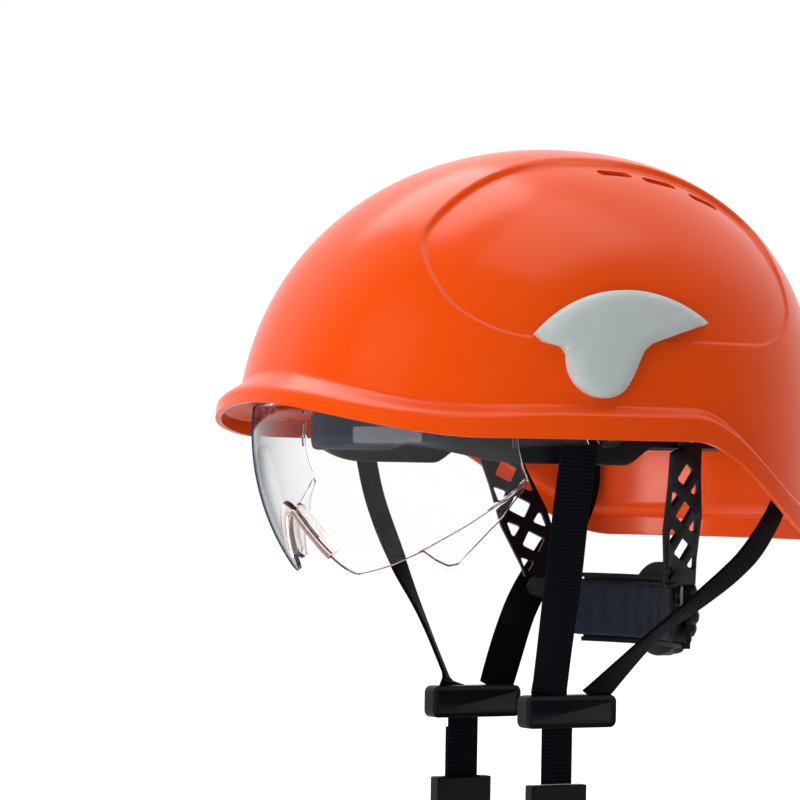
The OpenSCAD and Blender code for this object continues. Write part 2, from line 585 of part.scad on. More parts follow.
shell();
side_plate(1);  // side_plate_left
side_plate(-1);  // side_plate_right
hinge_pin(1);  // hinge_pin_left
hinge_pin(-1);  // hinge_pin_right
visor();
nose_bridge();
visor_tabs();
headband();
band_lugs();
brow_pad();
crown_strap(1, 0);  // crown_strap_a
crown_strap(-1, 2.5);  // crown_strap_b
crown_pad();
crown_hooks();
strap_buttons();
front_strap(1);  // front_strap_left
front_strap(-1);  // front_strap_right
rear_strap(1);  // rear_strap_left
rear_strap(-1);  // rear_strap_right
divider(1);  // divider_left
divider(-1);  // divider_right
chin_webbing();
buckle_webbing();
buckle_male();
buckle_female();
chin_pad();
strap_slider();
strap_tail();
nape_arm(1);  // nape_arm_left
nape_arm(-1);  // nape_arm_right
nape_pins();
nape_cradle();
nape_pad();
ratchet_housing();
rack(1);  // rack_left
rack(-1);  // rack_right
pinion();
ratchet_knob();
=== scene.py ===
# %% [markdown]
# # A hard hat with a clear visor
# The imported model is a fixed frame: every piece made here goes exactly where the frame
# says, in metres. Most pieces are copies of a frame node with finer edges, or new meshes
# that stand for a plain node. We start by loading the frame and noting its box.

# %% Load the frame
import json
from functools import partialmethod
from math import asin, atan2, cos, degrees, dist, exp, hypot, log, pi, radians, sin, sqrt, tan

import bmesh
import bpy
import numpy as np
from mathutils import Matrix, Vector


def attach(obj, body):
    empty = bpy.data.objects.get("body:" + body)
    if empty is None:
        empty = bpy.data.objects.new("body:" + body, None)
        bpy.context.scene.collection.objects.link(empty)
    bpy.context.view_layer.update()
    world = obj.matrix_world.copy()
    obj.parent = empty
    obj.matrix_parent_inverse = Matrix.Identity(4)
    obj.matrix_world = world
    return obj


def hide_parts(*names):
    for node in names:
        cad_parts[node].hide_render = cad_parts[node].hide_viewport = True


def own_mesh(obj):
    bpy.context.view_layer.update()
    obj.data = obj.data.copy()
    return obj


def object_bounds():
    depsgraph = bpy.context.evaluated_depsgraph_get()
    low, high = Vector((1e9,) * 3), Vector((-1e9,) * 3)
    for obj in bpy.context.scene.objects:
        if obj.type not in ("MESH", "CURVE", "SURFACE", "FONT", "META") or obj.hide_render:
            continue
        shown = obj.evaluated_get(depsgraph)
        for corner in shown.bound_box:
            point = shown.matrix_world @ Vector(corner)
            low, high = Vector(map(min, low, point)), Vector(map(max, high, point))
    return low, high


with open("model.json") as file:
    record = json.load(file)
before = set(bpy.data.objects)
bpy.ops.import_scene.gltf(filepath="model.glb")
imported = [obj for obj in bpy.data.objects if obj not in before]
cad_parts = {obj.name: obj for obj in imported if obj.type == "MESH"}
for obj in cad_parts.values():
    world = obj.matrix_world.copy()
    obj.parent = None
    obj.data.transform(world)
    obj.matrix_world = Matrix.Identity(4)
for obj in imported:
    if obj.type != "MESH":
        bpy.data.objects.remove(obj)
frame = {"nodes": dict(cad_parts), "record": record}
cad_box = [list(corner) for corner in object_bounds()]
MM = 0.001
SIDES = ((1, "left"), (-1, "right"))
scene = bpy.context.scene


def placed(name, data):
    """A new object in the scene."""
    obj = bpy.data.objects.new(name, data)
    scene.collection.objects.link(obj)
    return obj


def mesh_from(bm, name):
    """The bmesh as a mesh. The bmesh is freed."""
    mesh = bpy.data.meshes.new(name)
    bm.to_mesh(mesh)
    bm.free()
    return mesh


print("frame box", cad_box)

# %% [markdown]
# ## Camera
# The hat is seen from its front left, level with its rim, through a long lens, so that
# the near and far rims keep almost the same size. The camera looks at a point in front
# of the hat's middle and is rolled a little.

# %% Camera
CAMERA_TURN = 57.06     # degrees round the hat from its front
CAMERA_RISE = -0.39
CAMERA_ROLL = 0.97
CAMERA_FAR = 1.7        # metres from the origin
LENS = 174.4            # millimetres on a 36 mm sensor
AIM = (-0.0549, 0.0207)  # metres right of and above the origin


def spherical(turn, rise):
    """The direction from the origin to a place round the hat."""
    t, r = radians(turn), radians(rise)
    return Vector((sin(t) * cos(r), -cos(t) * cos(r), sin(r)))


back = spherical(CAMERA_TURN, CAMERA_RISE)
level = Vector((0, 0, 1)).cross(back).normalized()
roll = Matrix.Rotation(radians(CAMERA_ROLL), 3, back)
right = roll @ level
up = roll @ back.cross(level)
place = back * CAMERA_FAR
toward = (right * AIM[0] + up * AIM[1] - place).normalized()
side = toward.cross(up).normalized()
lens = bpy.data.cameras.new("camera")
lens.lens = LENS
lens.clip_end = 20
camera = placed("camera", lens)
axes = Matrix((side, side.cross(toward), -toward)).transposed()
camera.matrix_world = Matrix.Translation(place) @ axes.to_4x4()
scene.camera = camera
scene.view_settings.view_transform = "Standard"
print("camera at", [round(c, 3) for c in place])

# %% [markdown]
# ## Shader sums in plain Python
# A material is a graph of nodes. `Wire` wraps one output, so `1 - mask * 0.5` adds the
# Math nodes by itself, and `Finish` makes a material whose nodes all come from `add`.


# %% Shader helpers
class Wire:
    """One output of a node that Python's operators can do sums with."""

    def __init__(self, finish, socket):
        self.finish = finish
        self.socket = socket

    def out(self, name):
        """Another output of the same node."""
        return Wire(self.finish, self.socket.node.outputs[name])

    def seen(self):
        """From a Light Path node: 1 for sight, straight or through a clear piece."""
        return self.out("Is Camera Ray").sums("MAXIMUM", self.out("Is Transmission Ray"))

    def sums(self, operation, other, turned=False):
        pair = (other, self) if turned else (self, other)
        return self.finish.add("Math", *pair, settings={"operation": operation})

    __add__ = partialmethod(sums, "ADD")
    __sub__ = partialmethod(sums, "SUBTRACT")
    __rsub__ = partialmethod(sums, "SUBTRACT", turned=True)
    __mul__ = partialmethod(sums, "MULTIPLY")
    __pow__ = partialmethod(sums, "POWER")
    sine = partialmethod(sums, "SINE", 0.0)

    def part(self, axis):
        """One of the three numbers of a vector."""
        return self.finish.add("SeparateXYZ", self, out=axis)


class Shading:
    """A node tree with one method that adds any node to it."""

    def feed(self, node, key, value):
        if isinstance(value, Wire):
            self.tree.links.new(value.socket, node.inputs[key])
        else:
            node.inputs[key].default_value = value

    def add(self, kind, *inputs, out=0, settings=None, **named):
        node = self.tree.nodes.new("ShaderNode" + kind)
        for name, setting in (settings or {}).items():
            setattr(node, name, setting)
        for key, value in [*enumerate(inputs), *named.items()]:
            self.feed(node, key, value)
        return Wire(self, node.outputs[out])

    def coords(self, output="Object"):
        return self.add("TexCoord", out=output)


class Finish(Shading):
    """A material with one Principled node."""

    def __init__(self, name, color, **numbers):
        self.material = bpy.data.materials.new(name)
        self.material.use_nodes = True
        self.tree = self.material.node_tree
        self.shader = self.tree.nodes["Principled BSDF"]
        self.out = self.tree.nodes["Material Output"]
        self.feed(self.shader, "Base Color", (*color, 1.0))
        for name, number in numbers.items():
            self.feed(self.shader, name.replace("_", " ").title().replace("Ior", "IOR"), number)

    def noise(self, scale, detail):
        return self.add("TexNoise", out="Fac", Vector=self.coords(), Scale=scale, Detail=detail)

    def bump(self, height, strength, distance):
        """Ends a finish with its relief, and gives the material."""
        self.set(Normal=self.add("Bump", Height=height, Strength=strength, Distance=distance))
        return self.material

    def mixed(self, factor, one, other):
        """A Mix node on colours, whose sockets come after those for numbers."""
        node = self.tree.nodes.new("ShaderNodeMix")
        node.data_type = "RGBA"
        for key, value in ((0, factor), (6, (*one, 1.0)), (7, (*other, 1.0))):
            self.feed(node, key, value)
        return Wire(self, node.outputs[2])

    def look(self, factor, one, other, roughness):
        """Two colours mixed by factor, and how rough they are."""
        self.set(Base_Color=self.mixed(factor, one, other), Roughness=roughness)

    def surface(self):
        """The Principled node's own output."""
        return Wire(self, self.shader.outputs[0])

    def end_with(self, wire):
        """Makes a wire the material's surface, in place of the Principled node."""
        self.tree.links.new(wire.socket, self.out.inputs["Surface"])

    def set(self, **values):
        for key, value in values.items():
            self.feed(self.shader, key.replace("_", " "), value)


print("shader helpers ready")

# %% [markdown]
# ## Floor, backdrop and light
# A pale floor just below the hat carries a soft shadow. The world is plain white to the
# camera and through the clear visor, but it lights the hat gently, and in mirrors it is
# dim on the camera's side, so that the cap keeps its colour. Five lamps stand round the
# hat. Only the one over its left side and the one on its right show up in gloss.

# %% Studio
FLOOR_DROP, FLOOR_HALF = 0.004, 6   # metres below the hat, half the floor's width
FLOOR_GLOW = 0.785  # added for sight alone, so that the far floor meets the white
ROOM_LIGHT = 0.34   # the world's strength as light
ROOM_FRONT = 0.06   # its strength in mirrors, on the camera's side
LAMPS = [
    # name, turn, rise, distance, width, height, watts, seen in gloss
    ("key", 125, 72, 1.7, 1.3, 0.9, 5.5, True),
    ("front", 8, 30, 2.0, 1.2, 1.0, 10, False),
    ("low", 14, -2, 2.4, 1.6, 0.3, 20, False),
    ("rim", -95, 62, 1.6, 0.8, 1.2, 8, True),
    ("back", 190, 40, 1.8, 1.0, 0.8, 8, False),
]


class Room(Shading):
    """The world: white to sight, through clear plastic and in mirrors behind the hat."""

    def __init__(self):
        self.world = bpy.data.worlds.new("studio")
        self.world.use_nodes = True
        self.tree = self.world.node_tree
        sky = self.tree.nodes["Background"]
        self.feed(sky, "Color", (1, 1, 1, 1))
        rays = self.add("LightPath")
        seen = rays.seen()
        away = tuple(-c for c in spherical(CAMERA_TURN, -12))
        behind = self.add("VectorMath", self.coords("Generated"), away, out=1,
                          settings={"operation": "DOT_PRODUCT"})
        mirror = self.add("MapRange", behind, -0.15, 0.65, ROOM_FRONT, 1.0,
                          settings={"interpolation_type": "SMOOTHSTEP"})
        glossy = rays.out("Is Glossy Ray")
        level = (1 - glossy) * ROOM_LIGHT + glossy * mirror
        self.feed(sky, "Strength", (1 - seen) * level + seen)


scene.world = Room().world

for name, turn, rise, far, width, height, watts, in_gloss in LAMPS:
    lamp = bpy.data.lights.new(name, "AREA")
    lamp.shape = "RECTANGLE"
    lamp.size = width
    lamp.size_y = height
    lamp.energy = watts
    holder = placed(name, lamp)
    where = spherical(turn, rise)
    holder.location = where * far
    holder.visible_glossy = in_gloss
    holder.rotation_euler = where.to_track_quat("Z", "Y").to_euler()

floor_mesh = bmesh.new()
bmesh.ops.create_grid(floor_mesh, x_segments=1, y_segments=1, size=FLOOR_HALF)
bmesh.ops.translate(floor_mesh, verts=floor_mesh.verts, vec=(0, 0, cad_box[0][2] - FLOOR_DROP))
floor = placed("floor", mesh_from(floor_mesh, "floor"))
floor_finish = Finish("floor", (0.80, 0.80, 0.80), roughness=0.9, specular_ior_level=0.0)
floor_seen = floor_finish.add("LightPath").seen()
floor_glow = floor_finish.add("Emission", (1, 1, 1, 1), floor_seen * FLOOR_GLOW)
floor_finish.end_with(floor_finish.add("AddShader", floor_finish.surface(), floor_glow))
floor.data.materials.append(floor_finish.material)
print("studio with", len(LAMPS), "lamps")

# %% [markdown]
# ## Finishes
# Moulded plastic is never one flat colour: it has a faint orange peel from the mould,
# and its gloss differs a little where hands have polished it. The webbing gets its
# threads from the UV map, the knit covers from their place in the piece.


# %% Finishes
def cap_finish():
    """Glossy moulded plastic with a shallow orange peel."""
    f = Finish("orange_cap", (0.95, 0.080, 0.0), roughness=0.25, specular_ior_level=0.30)
    cloud, wear = f.noise(9.0, 3.0), f.noise(160.0, 4.0)
    f.look(cloud, (0.92, 0.074, 0.0), (0.96, 0.088, 0.0), wear * 0.06 + cloud * 0.05 + 0.18)
    return f.bump(f.noise(420.0, 1.0), 0.05, 0.0004)


def grey_finish():
    """Satin pale grey plastic with a spark-eroded grain."""
    f = Finish("grey_plate", (0.56, 0.63, 0.62), roughness=0.42)
    cloud = f.noise(30.0, 2.0)
    f.look(cloud, (0.53, 0.60, 0.59), (0.60, 0.665, 0.655), cloud * 0.12 + 0.36)
    return f.bump(f.noise(2600.0, 2.0), 0.12, 0.00015)


def nylon_finish():
    """Black nylon with a matt grain, a little shinier where it is handled."""
    f = Finish("black_nylon", (0.003, 0.0035, 0.006), roughness=0.38, specular_ior_level=0.22)
    patch = f.noise(60.0, 3.0)
    f.look(patch, (0.003, 0.0035, 0.006), (0.0055, 0.00625, 0.01), patch * 0.18 + 0.30)
    return f.bump(f.noise(1800.0, 2.0), 0.15, 0.00012)


def clear_finish(name, tint, painted_edge_tint, roughness, ior, painted_edge_weight):
    """Clear plastic that lets the lamps' light through, with a painted edge colour where it is seen edge
    on: a painted reflection, dark for the clear lens.
    """
    f = Finish(name, tint, roughness=roughness, ior=ior, transmission_weight=1.0)
    facing = f.add("LayerWeight", out="Facing", Blend=0.35)
    # Towards edge on, the base colour turns to the painted edge colour: a painted reflection.
    f.set(Base_Color=f.mixed(facing ** 3, tint, painted_edge_tint))
    rays = f.add("LightPath", out="Is Shadow Ray")
    pass_light = f.add("BsdfTransparent", Color=(0.93, 0.94, 0.95, 1))
    # A diffuse sheet in the edge colour on edge-on faces: painted reflection, dark blue on the clear
    # lens for a dark room.
    painted_edge_sheet = f.add("BsdfDiffuse", Color=(*painted_edge_tint, 1))
    solid = f.add("MixShader", (facing ** 6) * painted_edge_weight, f.surface(), painted_edge_sheet)
    f.end_with(f.add("MixShader", rays, solid, pass_light))
    return f.material


RIB_STEP, WARP_STEP = 1.7, 1.15  # millimetres from thread to thread


def webbing_finish():
    """Woven polyester: ribs across the strap and warp threads along it, with a painted bluish highlight
    on the thread crests.
    """
    f = Finish("black_webbing", (0.006, 0.007, 0.012), roughness=0.65, specular_ior_level=0.06)
    uv = f.coords("UV")
    across, along = uv.part(0), uv.part(1)
    ribs = (along * (2 * pi / RIB_STEP)).sine() * 0.5 + 0.5
    sway = (along * (pi / RIB_STEP)).sine() * 1.2
    warp = (across * (2 * pi / WARP_STEP) + sway).sine() * 0.5 + 0.5
    weave = ribs * 0.6 + warp * 0.4
    # Lighter bluish colour on the thread crests: a painted highlight.
    painted_crest_highlight = (ribs * warp) ** 2.0
    fuzz = f.noise(900.0, 3.0)
    f.look(painted_crest_highlight * 0.85 + fuzz * 0.15, (0.0008, 0.001, 0.002), (0.011, 0.013, 0.021), 0.78 - weave * 0.2)
    return f.bump(weave + fuzz * 0.3, 0.5, 0.00025)


def knit_finish():
    """Close knit cloth over foam, dark grey with a light nap."""
    f = Finish("knit_cover", (0.02, 0.022, 0.028), roughness=0.8, specular_ior_level=0.12,
               sheen_weight=0.03)
    loops = f.add("TexVoronoi", out="Distance", Vector=f.coords(), Scale=900.0)
    nap = f.noise(240.0, 4.0)
    f.look(loops * 0.7 + nap * 0.4, (0.006, 0.008, 0.014), (0.022, 0.028, 0.043), nap * 0.15 + 0.72)
    return f.bump(loops + nap * 0.5, 0.5, 0.0003)


def steel_finish():
    """Drawn steel with fine rings from turning."""
    f = Finish("drawn_steel", (0.55, 0.55, 0.56), metallic=1.0, roughness=0.28)
    lines = f.noise(1500.0, 2.0)
    f.set(Roughness=lines * 0.2 + 0.2)
    return f.bump(lines, 0.1, 0.0001)


FINISH = {
    "cap_shell": cap_finish(),
    "side_plate": grey_finish(),
    "clear_lens": clear_finish("clear_lens", (0.985, 0.992, 0.995), (0.03, 0.05, 0.09), 0.01, 1.25, 4.0),
    # The nose bridge: a pink tint with a dark red edge, a painted reflection of the orange cap inside
    # the arch.
    "soft_clear": clear_finish("soft_clear", (0.96, 0.82, 0.78), (0.20, 0.05, 0.05), 0.04, 1.45, 1.2),
    # The visor's rim and flap ribs: a pinkish tint that paints the orange cap's reflection in the clear
    # edges.
    "lens_edge_painted_reflection": clear_finish("lens_edge_painted_reflection", (0.55, 0.36, 0.42), (0.10, 0.03, 0.05), 0.05, 1.45, 0.5),
    "black_plastic": nylon_finish(),
    "webbing": webbing_finish(),
    "foam_pad": knit_finish(),
    "steel": steel_finish(),
}
RECORD_SLOT = {part["node"]: part["material_slot"] for part in frame["record"]["subparts"]}
BODY = {node: body for body, nodes in frame["record"]["behaviour"]["bodies"].items() for node in nodes}
print(len(FINISH), "finishes")

# %% [markdown]
# ## From a bmesh to a piece
# Each piece is modelled in millimetres with bmesh operators. `piece` turns it into an
# object in metres that sits at the origin, rides on its node's body and stands for it.


# %% Piece helpers
def ease(t):
    """From 0 to 1 with a soft start and a soft end."""
    t = min(max(t, 0.0), 1.0)
    return t * t * (3 - 2 * t)


def mix(a, b, t):
    return a + (b - a) * t


def quarter(t):
    """The height of a quarter circle at t of its way in."""
    return sqrt(max(1 - (1 - min(t, 1)) ** 2, 0))


def parts_of(faces):
    """Faces with their edges and corners, for a cut by a plane."""
    return faces + list({e for f in faces for e in f.edges}) + list({v for f in faces for v in f.verts})


def round_at(section, v):
    """The point of a closed section at v of its way round."""
    return section[round(v * len(section)) % len(section)]


def piece(bm, name, node, smooth=40, scale=MM):
    """Makes the object, gives it its finish and lets it stand for the frame's node."""
    bmesh.ops.scale(bm, verts=bm.verts, vec=(scale, scale, scale))
    mesh = mesh_from(bm, name)
    obj = placed(name, mesh)
    slot = RECORD_SLOT[node]
    mesh.materials.append(FINISH[slot])
    mesh.shade_smooth()
    if smooth < 180:
        mesh.set_sharp_from_angle(angle=radians(smooth))
    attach(obj, BODY[node])
    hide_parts(node)
    return obj


def with_wall(obj, thick, rim, segments):
    """A sheet gets a wall on its inside, and its rim a small round."""
    wall = obj.modifiers.new("wall", "SOLIDIFY")
    wall.thickness = thick * MM
    with_round(obj, rim, segments, 50)


def with_round(obj, width, segments=2, angle=35):
    """Rounds every edge sharper than angle."""
    round_off = obj.modifiers.new("round", "BEVEL")
    round_off.width = width * MM
    round_off.segments = segments
    round_off.limit_method = "ANGLE"
    round_off.angle_limit = radians(angle)
    round_off.miter_outer = "MITER_ARC"


def mapped(cols, rows, place, thread=None, ends=True):
    """A grid laid over a surface: place(u, v) gives each point for u and v from 0 to 1.
    thread(u, v) gives the UV map, and open ends are filled."""
    bm = bmesh.new()
    bmesh.ops.create_grid(bm, x_segments=cols, y_segments=rows, size=0.5)
    if thread:
        layer = bm.loops.layers.uv.new("thread")
        for face in bm.faces:
            for corner in face.loops:
                corner[layer].uv = thread(corner.vert.co.x + 0.5, corner.vert.co.y + 0.5)
    for v in bm.verts:
        v.co = place(v.co.x + 0.5, v.co.y + 0.5)
    bmesh.ops.remove_doubles(bm, verts=bm.verts, dist=0.001)
    if ends:
        bmesh.ops.holes_fill(bm, edges=[e for e in bm.edges if e.is_boundary], sides=0)
    bmesh.ops.recalc_face_normals(bm, faces=bm.faces)
    return bm


def face_out(bm, centre):
    """Turns an open sheet so that its faces look away from centre."""
    away = sum((f.calc_center_median() - Vector(centre)).dot(f.normal) for f in bm.faces)
    if away < 0:
        bmesh.ops.reverse_faces(bm, faces=bm.faces)


def pill(wide, high, corner, steps=4):
    """A closed rectangle with round corners, anticlockwise from its right side."""
    points = []
    for k, (sx, sy) in enumerate(((1, 1), (-1, 1), (-1, -1), (1, -1))):
        for i in range(steps + 1):
            a = pi / 2 * (k + i / steps)
            points.append((sx * (wide / 2 - corner) + corner * cos(a),
                           sy * (high / 2 - corner) + corner * sin(a)))
    return points


def joined(node):
    """A copy of a frame node's mesh with its loose triangles joined into flat faces."""
    bm = bmesh.new()
    bm.from_mesh(frame["nodes"][node].data)
    bmesh.ops.remove_doubles(bm, verts=bm.verts, dist=0.000002)
    bmesh.ops.dissolve_limit(bm, angle_limit=radians(2), verts=bm.verts, edges=bm.edges)
    return bm


def refined(node, edge, name=None, segments=2):
    """A copy of a frame node with its edges rounded."""
    obj = piece(joined(node), name or node + "_moulding", node, smooth=35, scale=1.0)
    with_round(obj, edge, segments)


print("piece helpers ready")

# %% [markdown]
# ## The cap
# The cap is one moulded shell. Its plan is a superellipse, a little longer behind, and its
# wall leans in towards a crown that lies behind the middle. The rim runs level past the
# ears, rises at the brow, drops at the nape and turns out into a flange. A grid is laid
# out flat and each point is moved to its place on that surface.

# %% Cap surface
CAP_HALF_W, CAP_FRONT, CAP_BACK, CAP_H = 104.0, 128.5, 133.0, 130.7
CAP_WALL = 2.6
RIM_FRONT, RIM_SIDE, RIM_BACK = 16.6, 2.75, -39.25
FLANGE_SIDE, FLANGE_FRONT = 5.2, 9.5
PANEL_DEPTH, PANEL_SOFT = 2.6, 5.0
PLAN_N, RISE_M, RISE_K = 2.27, 2.33, 2.13
CROWN_Y = 12.0


def plan_radius(phi):
    s, c = abs(sin(phi)), cos(phi)
    length = CAP_FRONT if c > 0 else CAP_BACK
    return ((s / CAP_HALF_W) ** PLAN_N + (abs(c) / length) ** PLAN_N) ** (-1 / PLAN_N)


def lean(z):
    """The share of its full plan that the cap has at the height z."""
    if z <= 0:
        return 1.0
    return max(1 - min(z / CAP_H, 1) ** RISE_M, 0) ** (1 / RISE_K)


def crown_shift(z):
    return CROWN_Y * min(max(z, 0) / CAP_H, 1) ** 1.5


def off_front(phi):
    return abs(degrees(atan2(sin(phi), cos(phi))))


def rim_height(phi):
    d = off_front(phi)
    rise = (RIM_FRONT - RIM_SIDE) * (1 - ease(d / 49.6))
    return RIM_SIDE + rise + (RIM_BACK - RIM_SIDE) * ease((d - 98) / 43.5)


def flange_out(phi, h):
    brim = 1 - ease((off_front(phi) - 25) / 43)
    flat, fade = mix(9, 5, brim), mix(6, 9, brim)
    return mix(FLANGE_SIDE, FLANGE_FRONT, brim) * (1 - ease((h - flat) / fade))


def side_x(y, z):
    """How far out the cap's side is at a place beside the head."""
    s = y - crown_shift(z)
    length = (CAP_FRONT if s < 0 else CAP_BACK) * lean(z)
    return CAP_HALF_W * lean(z) * max(1 - (abs(s) / length) ** PLAN_N, 0) ** (1 / PLAN_N)


def ridge_half(y):
    """Half the width of the centre ridge, which widens towards both ends."""
    return 33.5 + 0.00135 * y * y


def panel_inside(x, y, z):
    """How far inside the side panel's outline a place is, negative outside it."""
    sides = (abs(x) - ridge_half(y), 88 - abs(y), z - 44 - 0.0132 * max(abs(y) - 55, 0) ** 2)
    return -PANEL_SOFT * log(sum(exp(-min(s / PANEL_SOFT, 40)) for s in sides))


def panel_dip(x, y, z):
    """Depth of the side panel: a crisp line low down, a broader step along the crown."""
    high = ease((z - 66) / 42)
    wide = mix(1.3, mix(6.0, 3.0, ease(abs(y) / 45)), high)
    return PANEL_DEPTH * mix(0.36, 1.0, high) * ease((panel_inside(x, y, z) - 0.2) / wide)


def cap_place(phi, z):
    r = plan_radius(phi) * lean(z) + flange_out(phi, z - rim_height(phi))
    return Vector((r * sin(phi), -r * cos(phi) + crown_shift(z), z))


def cap_out(spot):
    return Vector((spot.x / 104, spot.y / 130, max(spot.z, 0) / 130)).normalized()


print("rim at the front, side and back:", [round(rim_height(radians(a)), 1) for a in (0, 90, 180)])

# %% [markdown]
# ## Cap mesh and vents
# The grid's short side becomes the height. Its rows are close together in the flange and
# again towards the crown. Faces near a side panel's outline are split finer before the
# panel is pushed in. Each vent is a stadium-shaped slot: straight cuts along its outline
# split the faces around it, and those inside are taken out before the sheet gets its wall.

# %% Cap mesh
COLS, ROWS = 300, 104
FLANGE_TOP, FLANGE_ROWS = 18, 0.26  # height over the rim, and the share of rows below it
VENTS = [(15, 8.5), (37, 8.5), (58, 8.0)]  # distance behind the middle, half length
VENT_IN, VENT_HALF_W = 11, 2.8  # distance outside the ridge, half width


def row_height(phi, t):
    low = rim_height(phi)
    if t < FLANGE_ROWS:
        return low + FLANGE_TOP * t / FLANGE_ROWS
    return mix(low + FLANGE_TOP, CAP_H, sin(pi / 2 * (t - FLANGE_ROWS) / (1 - FLANGE_ROWS)))


def cut_slot(bm, centre, along, out, half_long, half_wide):
    """Cuts a stadium-shaped hole through the sheet."""
    across = out.cross(along).normalized()
    reach = half_long + 6
    near = [f for f in bm.faces if (f.calc_center_median() - centre).length < reach]
    straight = half_long - half_wide
    planes = [(centre + across * half_wide * s, across * s) for s in (-1, 1)]
    for end in (-1, 1):
        for i in range(8):
            a = pi * (i / 7 - 0.5)
            no = along * (end * cos(a)) + across * sin(a)
            planes.append((centre + along * (end * straight) + no * half_wide, no))
    for co, no in planes:
        ring = set(near)
        cut = bmesh.ops.bisect_plane(bm, geom=parts_of(near), dist=0.0005, plane_co=co, plane_no=no)
        near = [g for g in set(cut["geom"]) | ring if isinstance(g, bmesh.types.BMFace) and g.is_valid]
    inside = [f for f in near if all((f.calc_center_median() - co).dot(no) < 0 for co, no in planes)]
    bmesh.ops.delete(bm, geom=inside, context="FACES")


def cap_spot(u, v):
    phi = u * 2 * pi
    return cap_place(phi, row_height(phi, v))


cap_mesh = mapped(COLS, ROWS, cap_spot, ends=False)
near_step = [f for f in cap_mesh.faces if -2.5 < panel_inside(*f.calc_center_median()) < 8]
step_edges = list({e for f in near_step for e in f.edges})
bmesh.ops.subdivide_edges(cap_mesh, edges=step_edges, cuts=2, use_grid_fill=True)
for v in cap_mesh.verts:
    v.co -= cap_out(v.co) * panel_dip(*v.co)
for far_back, half_long in VENTS:
    for side_sign in (-1, 1):
        x_vent = side_sign * (ridge_half(far_back) + VENT_IN)
        top = [v.co for v in cap_mesh.verts if v.co.z > 60]
        spot = min(top, key=lambda co: (co.x - x_vent) ** 2 + (co.y - far_back) ** 2).copy()
        facing_out = Vector((spot.x / 104 ** 2, spot.y / 130 ** 2, spot.z / 130 ** 2)).normalized()
        along_ridge = Vector((side_sign * 0.0027 * far_back, 1, 0))
        along_ridge = (along_ridge - facing_out * along_ridge.dot(facing_out)).normalized()
        cut_slot(cap_mesh, spot, along_ridge, facing_out, half_long, VENT_HALF_W)
face_out(cap_mesh, (0, 0, 20))
cap = piece(cap_mesh, "cap_moulding", "shell", smooth=60)
with_wall(cap, CAP_WALL, rim=0.7, segments=3)
print("cap faces", len(cap.data.polygons))

# %% [markdown]
# ## Side plates
# The plates follow the cap's curve: an arc along the top, a tip at each end and a round
# lobe below. The outline is filled, inset for its edge and cut by planes so that it can
# bend, and each point is then set on the cap's surface. Points near the outline drop
# along a quarter circle, which gives a soft rounded edge.

# %% Side plates
PLATE_T, PLATE_ROUND = 4.5, 1.7
PLATE_FOOT, PLATE_FIT = 0.05, 0.3  # the gap from the cap to the skirt and to the plate
LOBE, LOBE_R = Vector((-29.3, 34.5)), 14.6
TOP_ARC, TOP_ARC_R = Vector((-11, 4.5)), 61.0


def arc(centre, radius, start, stop, steps):
    turns = [radians(mix(start, stop, i / steps)) for i in range(steps + 1)]
    return [centre + Vector((cos(a), sin(a))) * radius for a in turns]


def plate_outline():
    """Round the plate from its front tip, with the lobe first and the top last."""
    front = ((-56.1, 45.7), (-52.6, 42.5), (-49.2, 41.6), (-46.4, 41.0), (-45.2, 40.2), (-44.4, 38.9))
    back = ((-12.9, 33.2), (-10.6, 37.6), (-8.3, 40.8), (-4.2, 43.4), (10, 48), (25, 52.4), (26, 53.2))
    lobe, top = arc(LOBE, LOBE_R, 169, 330, 34), arc(TOP_ARC, TOP_ARC_R, 52.5, 134.2, 44)
    return [Vector(p) for p in front] + lobe + [Vector(p) for p in back] + top


def to_line(p, a, b):
    t = max(0, min(1, (p - a).dot(b - a) / max((b - a).length_squared, 1e-9)))
    return (p - a - (b - a) * t).length


def side_plate(sign, node):
    outline = plate_outline()
    bm = bmesh.new()
    ring = [bm.verts.new((0, p.x, p.y)) for p in outline]
    bm.faces.new(ring)
    for step in (0.25, 0.45, 0.6, 0.7):
        inner = [max(bm.faces, key=lambda f: f.calc_area())]
        bmesh.ops.inset_region(bm, faces=inner, thickness=step, use_even_offset=True)
    for i in range(1, 20):
        for co, no in (((0, -58 + i * 4.4, 0), (0, 1, 0)), ((0, 0, 18 + i * 2.6), (0, 0, 1))):
            inner = [f for f in bm.faces if len(f.verts) > 4 or f.calc_area() > 12]
            bmesh.ops.bisect_plane(bm, geom=parts_of(inner), dist=0.0005, plane_co=co, plane_no=no)
    edges = [e for e in bm.edges if e.is_boundary]
    skirt = bmesh.ops.extrude_edge_only(bm, edges=edges)
    low = {v for v in skirt["geom"] if isinstance(v, bmesh.types.BMVert)}
    pairs = list(zip(outline, outline[1:] + outline[:1]))
    for v in bm.verts:
        p = Vector((v.co.y, v.co.z))
        edge_gap = min(to_line(p, a, b) for a, b in pairs)
        inward = max(PLATE_ROUND - edge_gap, 0)
        height = PLATE_T - PLATE_ROUND + sqrt(max(PLATE_ROUND ** 2 - inward ** 2, 0))
        v.co.x = side_x(p.x, p.y) + (PLATE_FOOT if v in low else PLATE_FIT + height)
    bmesh.ops.remove_doubles(bm, verts=bm.verts, dist=0.01)
    bmesh.ops.dissolve_degenerate(bm, edges=bm.edges, dist=0.005)
    bmesh.ops.recalc_face_normals(bm, faces=bm.faces)
    if sign < 0:
        bmesh.ops.scale(bm, verts=bm.verts, vec=(-1, 1, 1))
        bmesh.ops.reverse_faces(bm, faces=bm.faces)
    return piece(bm, node + "_moulding", node, smooth=45)


for sign, side_name in SIDES:
    plate = side_plate(sign, f"side_plate_{side_name}")
    print(plate.name, "faces", len(plate.data.polygons))

# %% [markdown]
# ## The visor
# A visor that swings into a shell has to be a surface of revolution about its hinge, or
# it would scrape. It is half an ellipsoid: each column of a grid runs at one angle across
# the face, from the lower edge to the upper one. The lower edge has a nose cut-out and, at
# each side, a flap that is set in by a fine step.

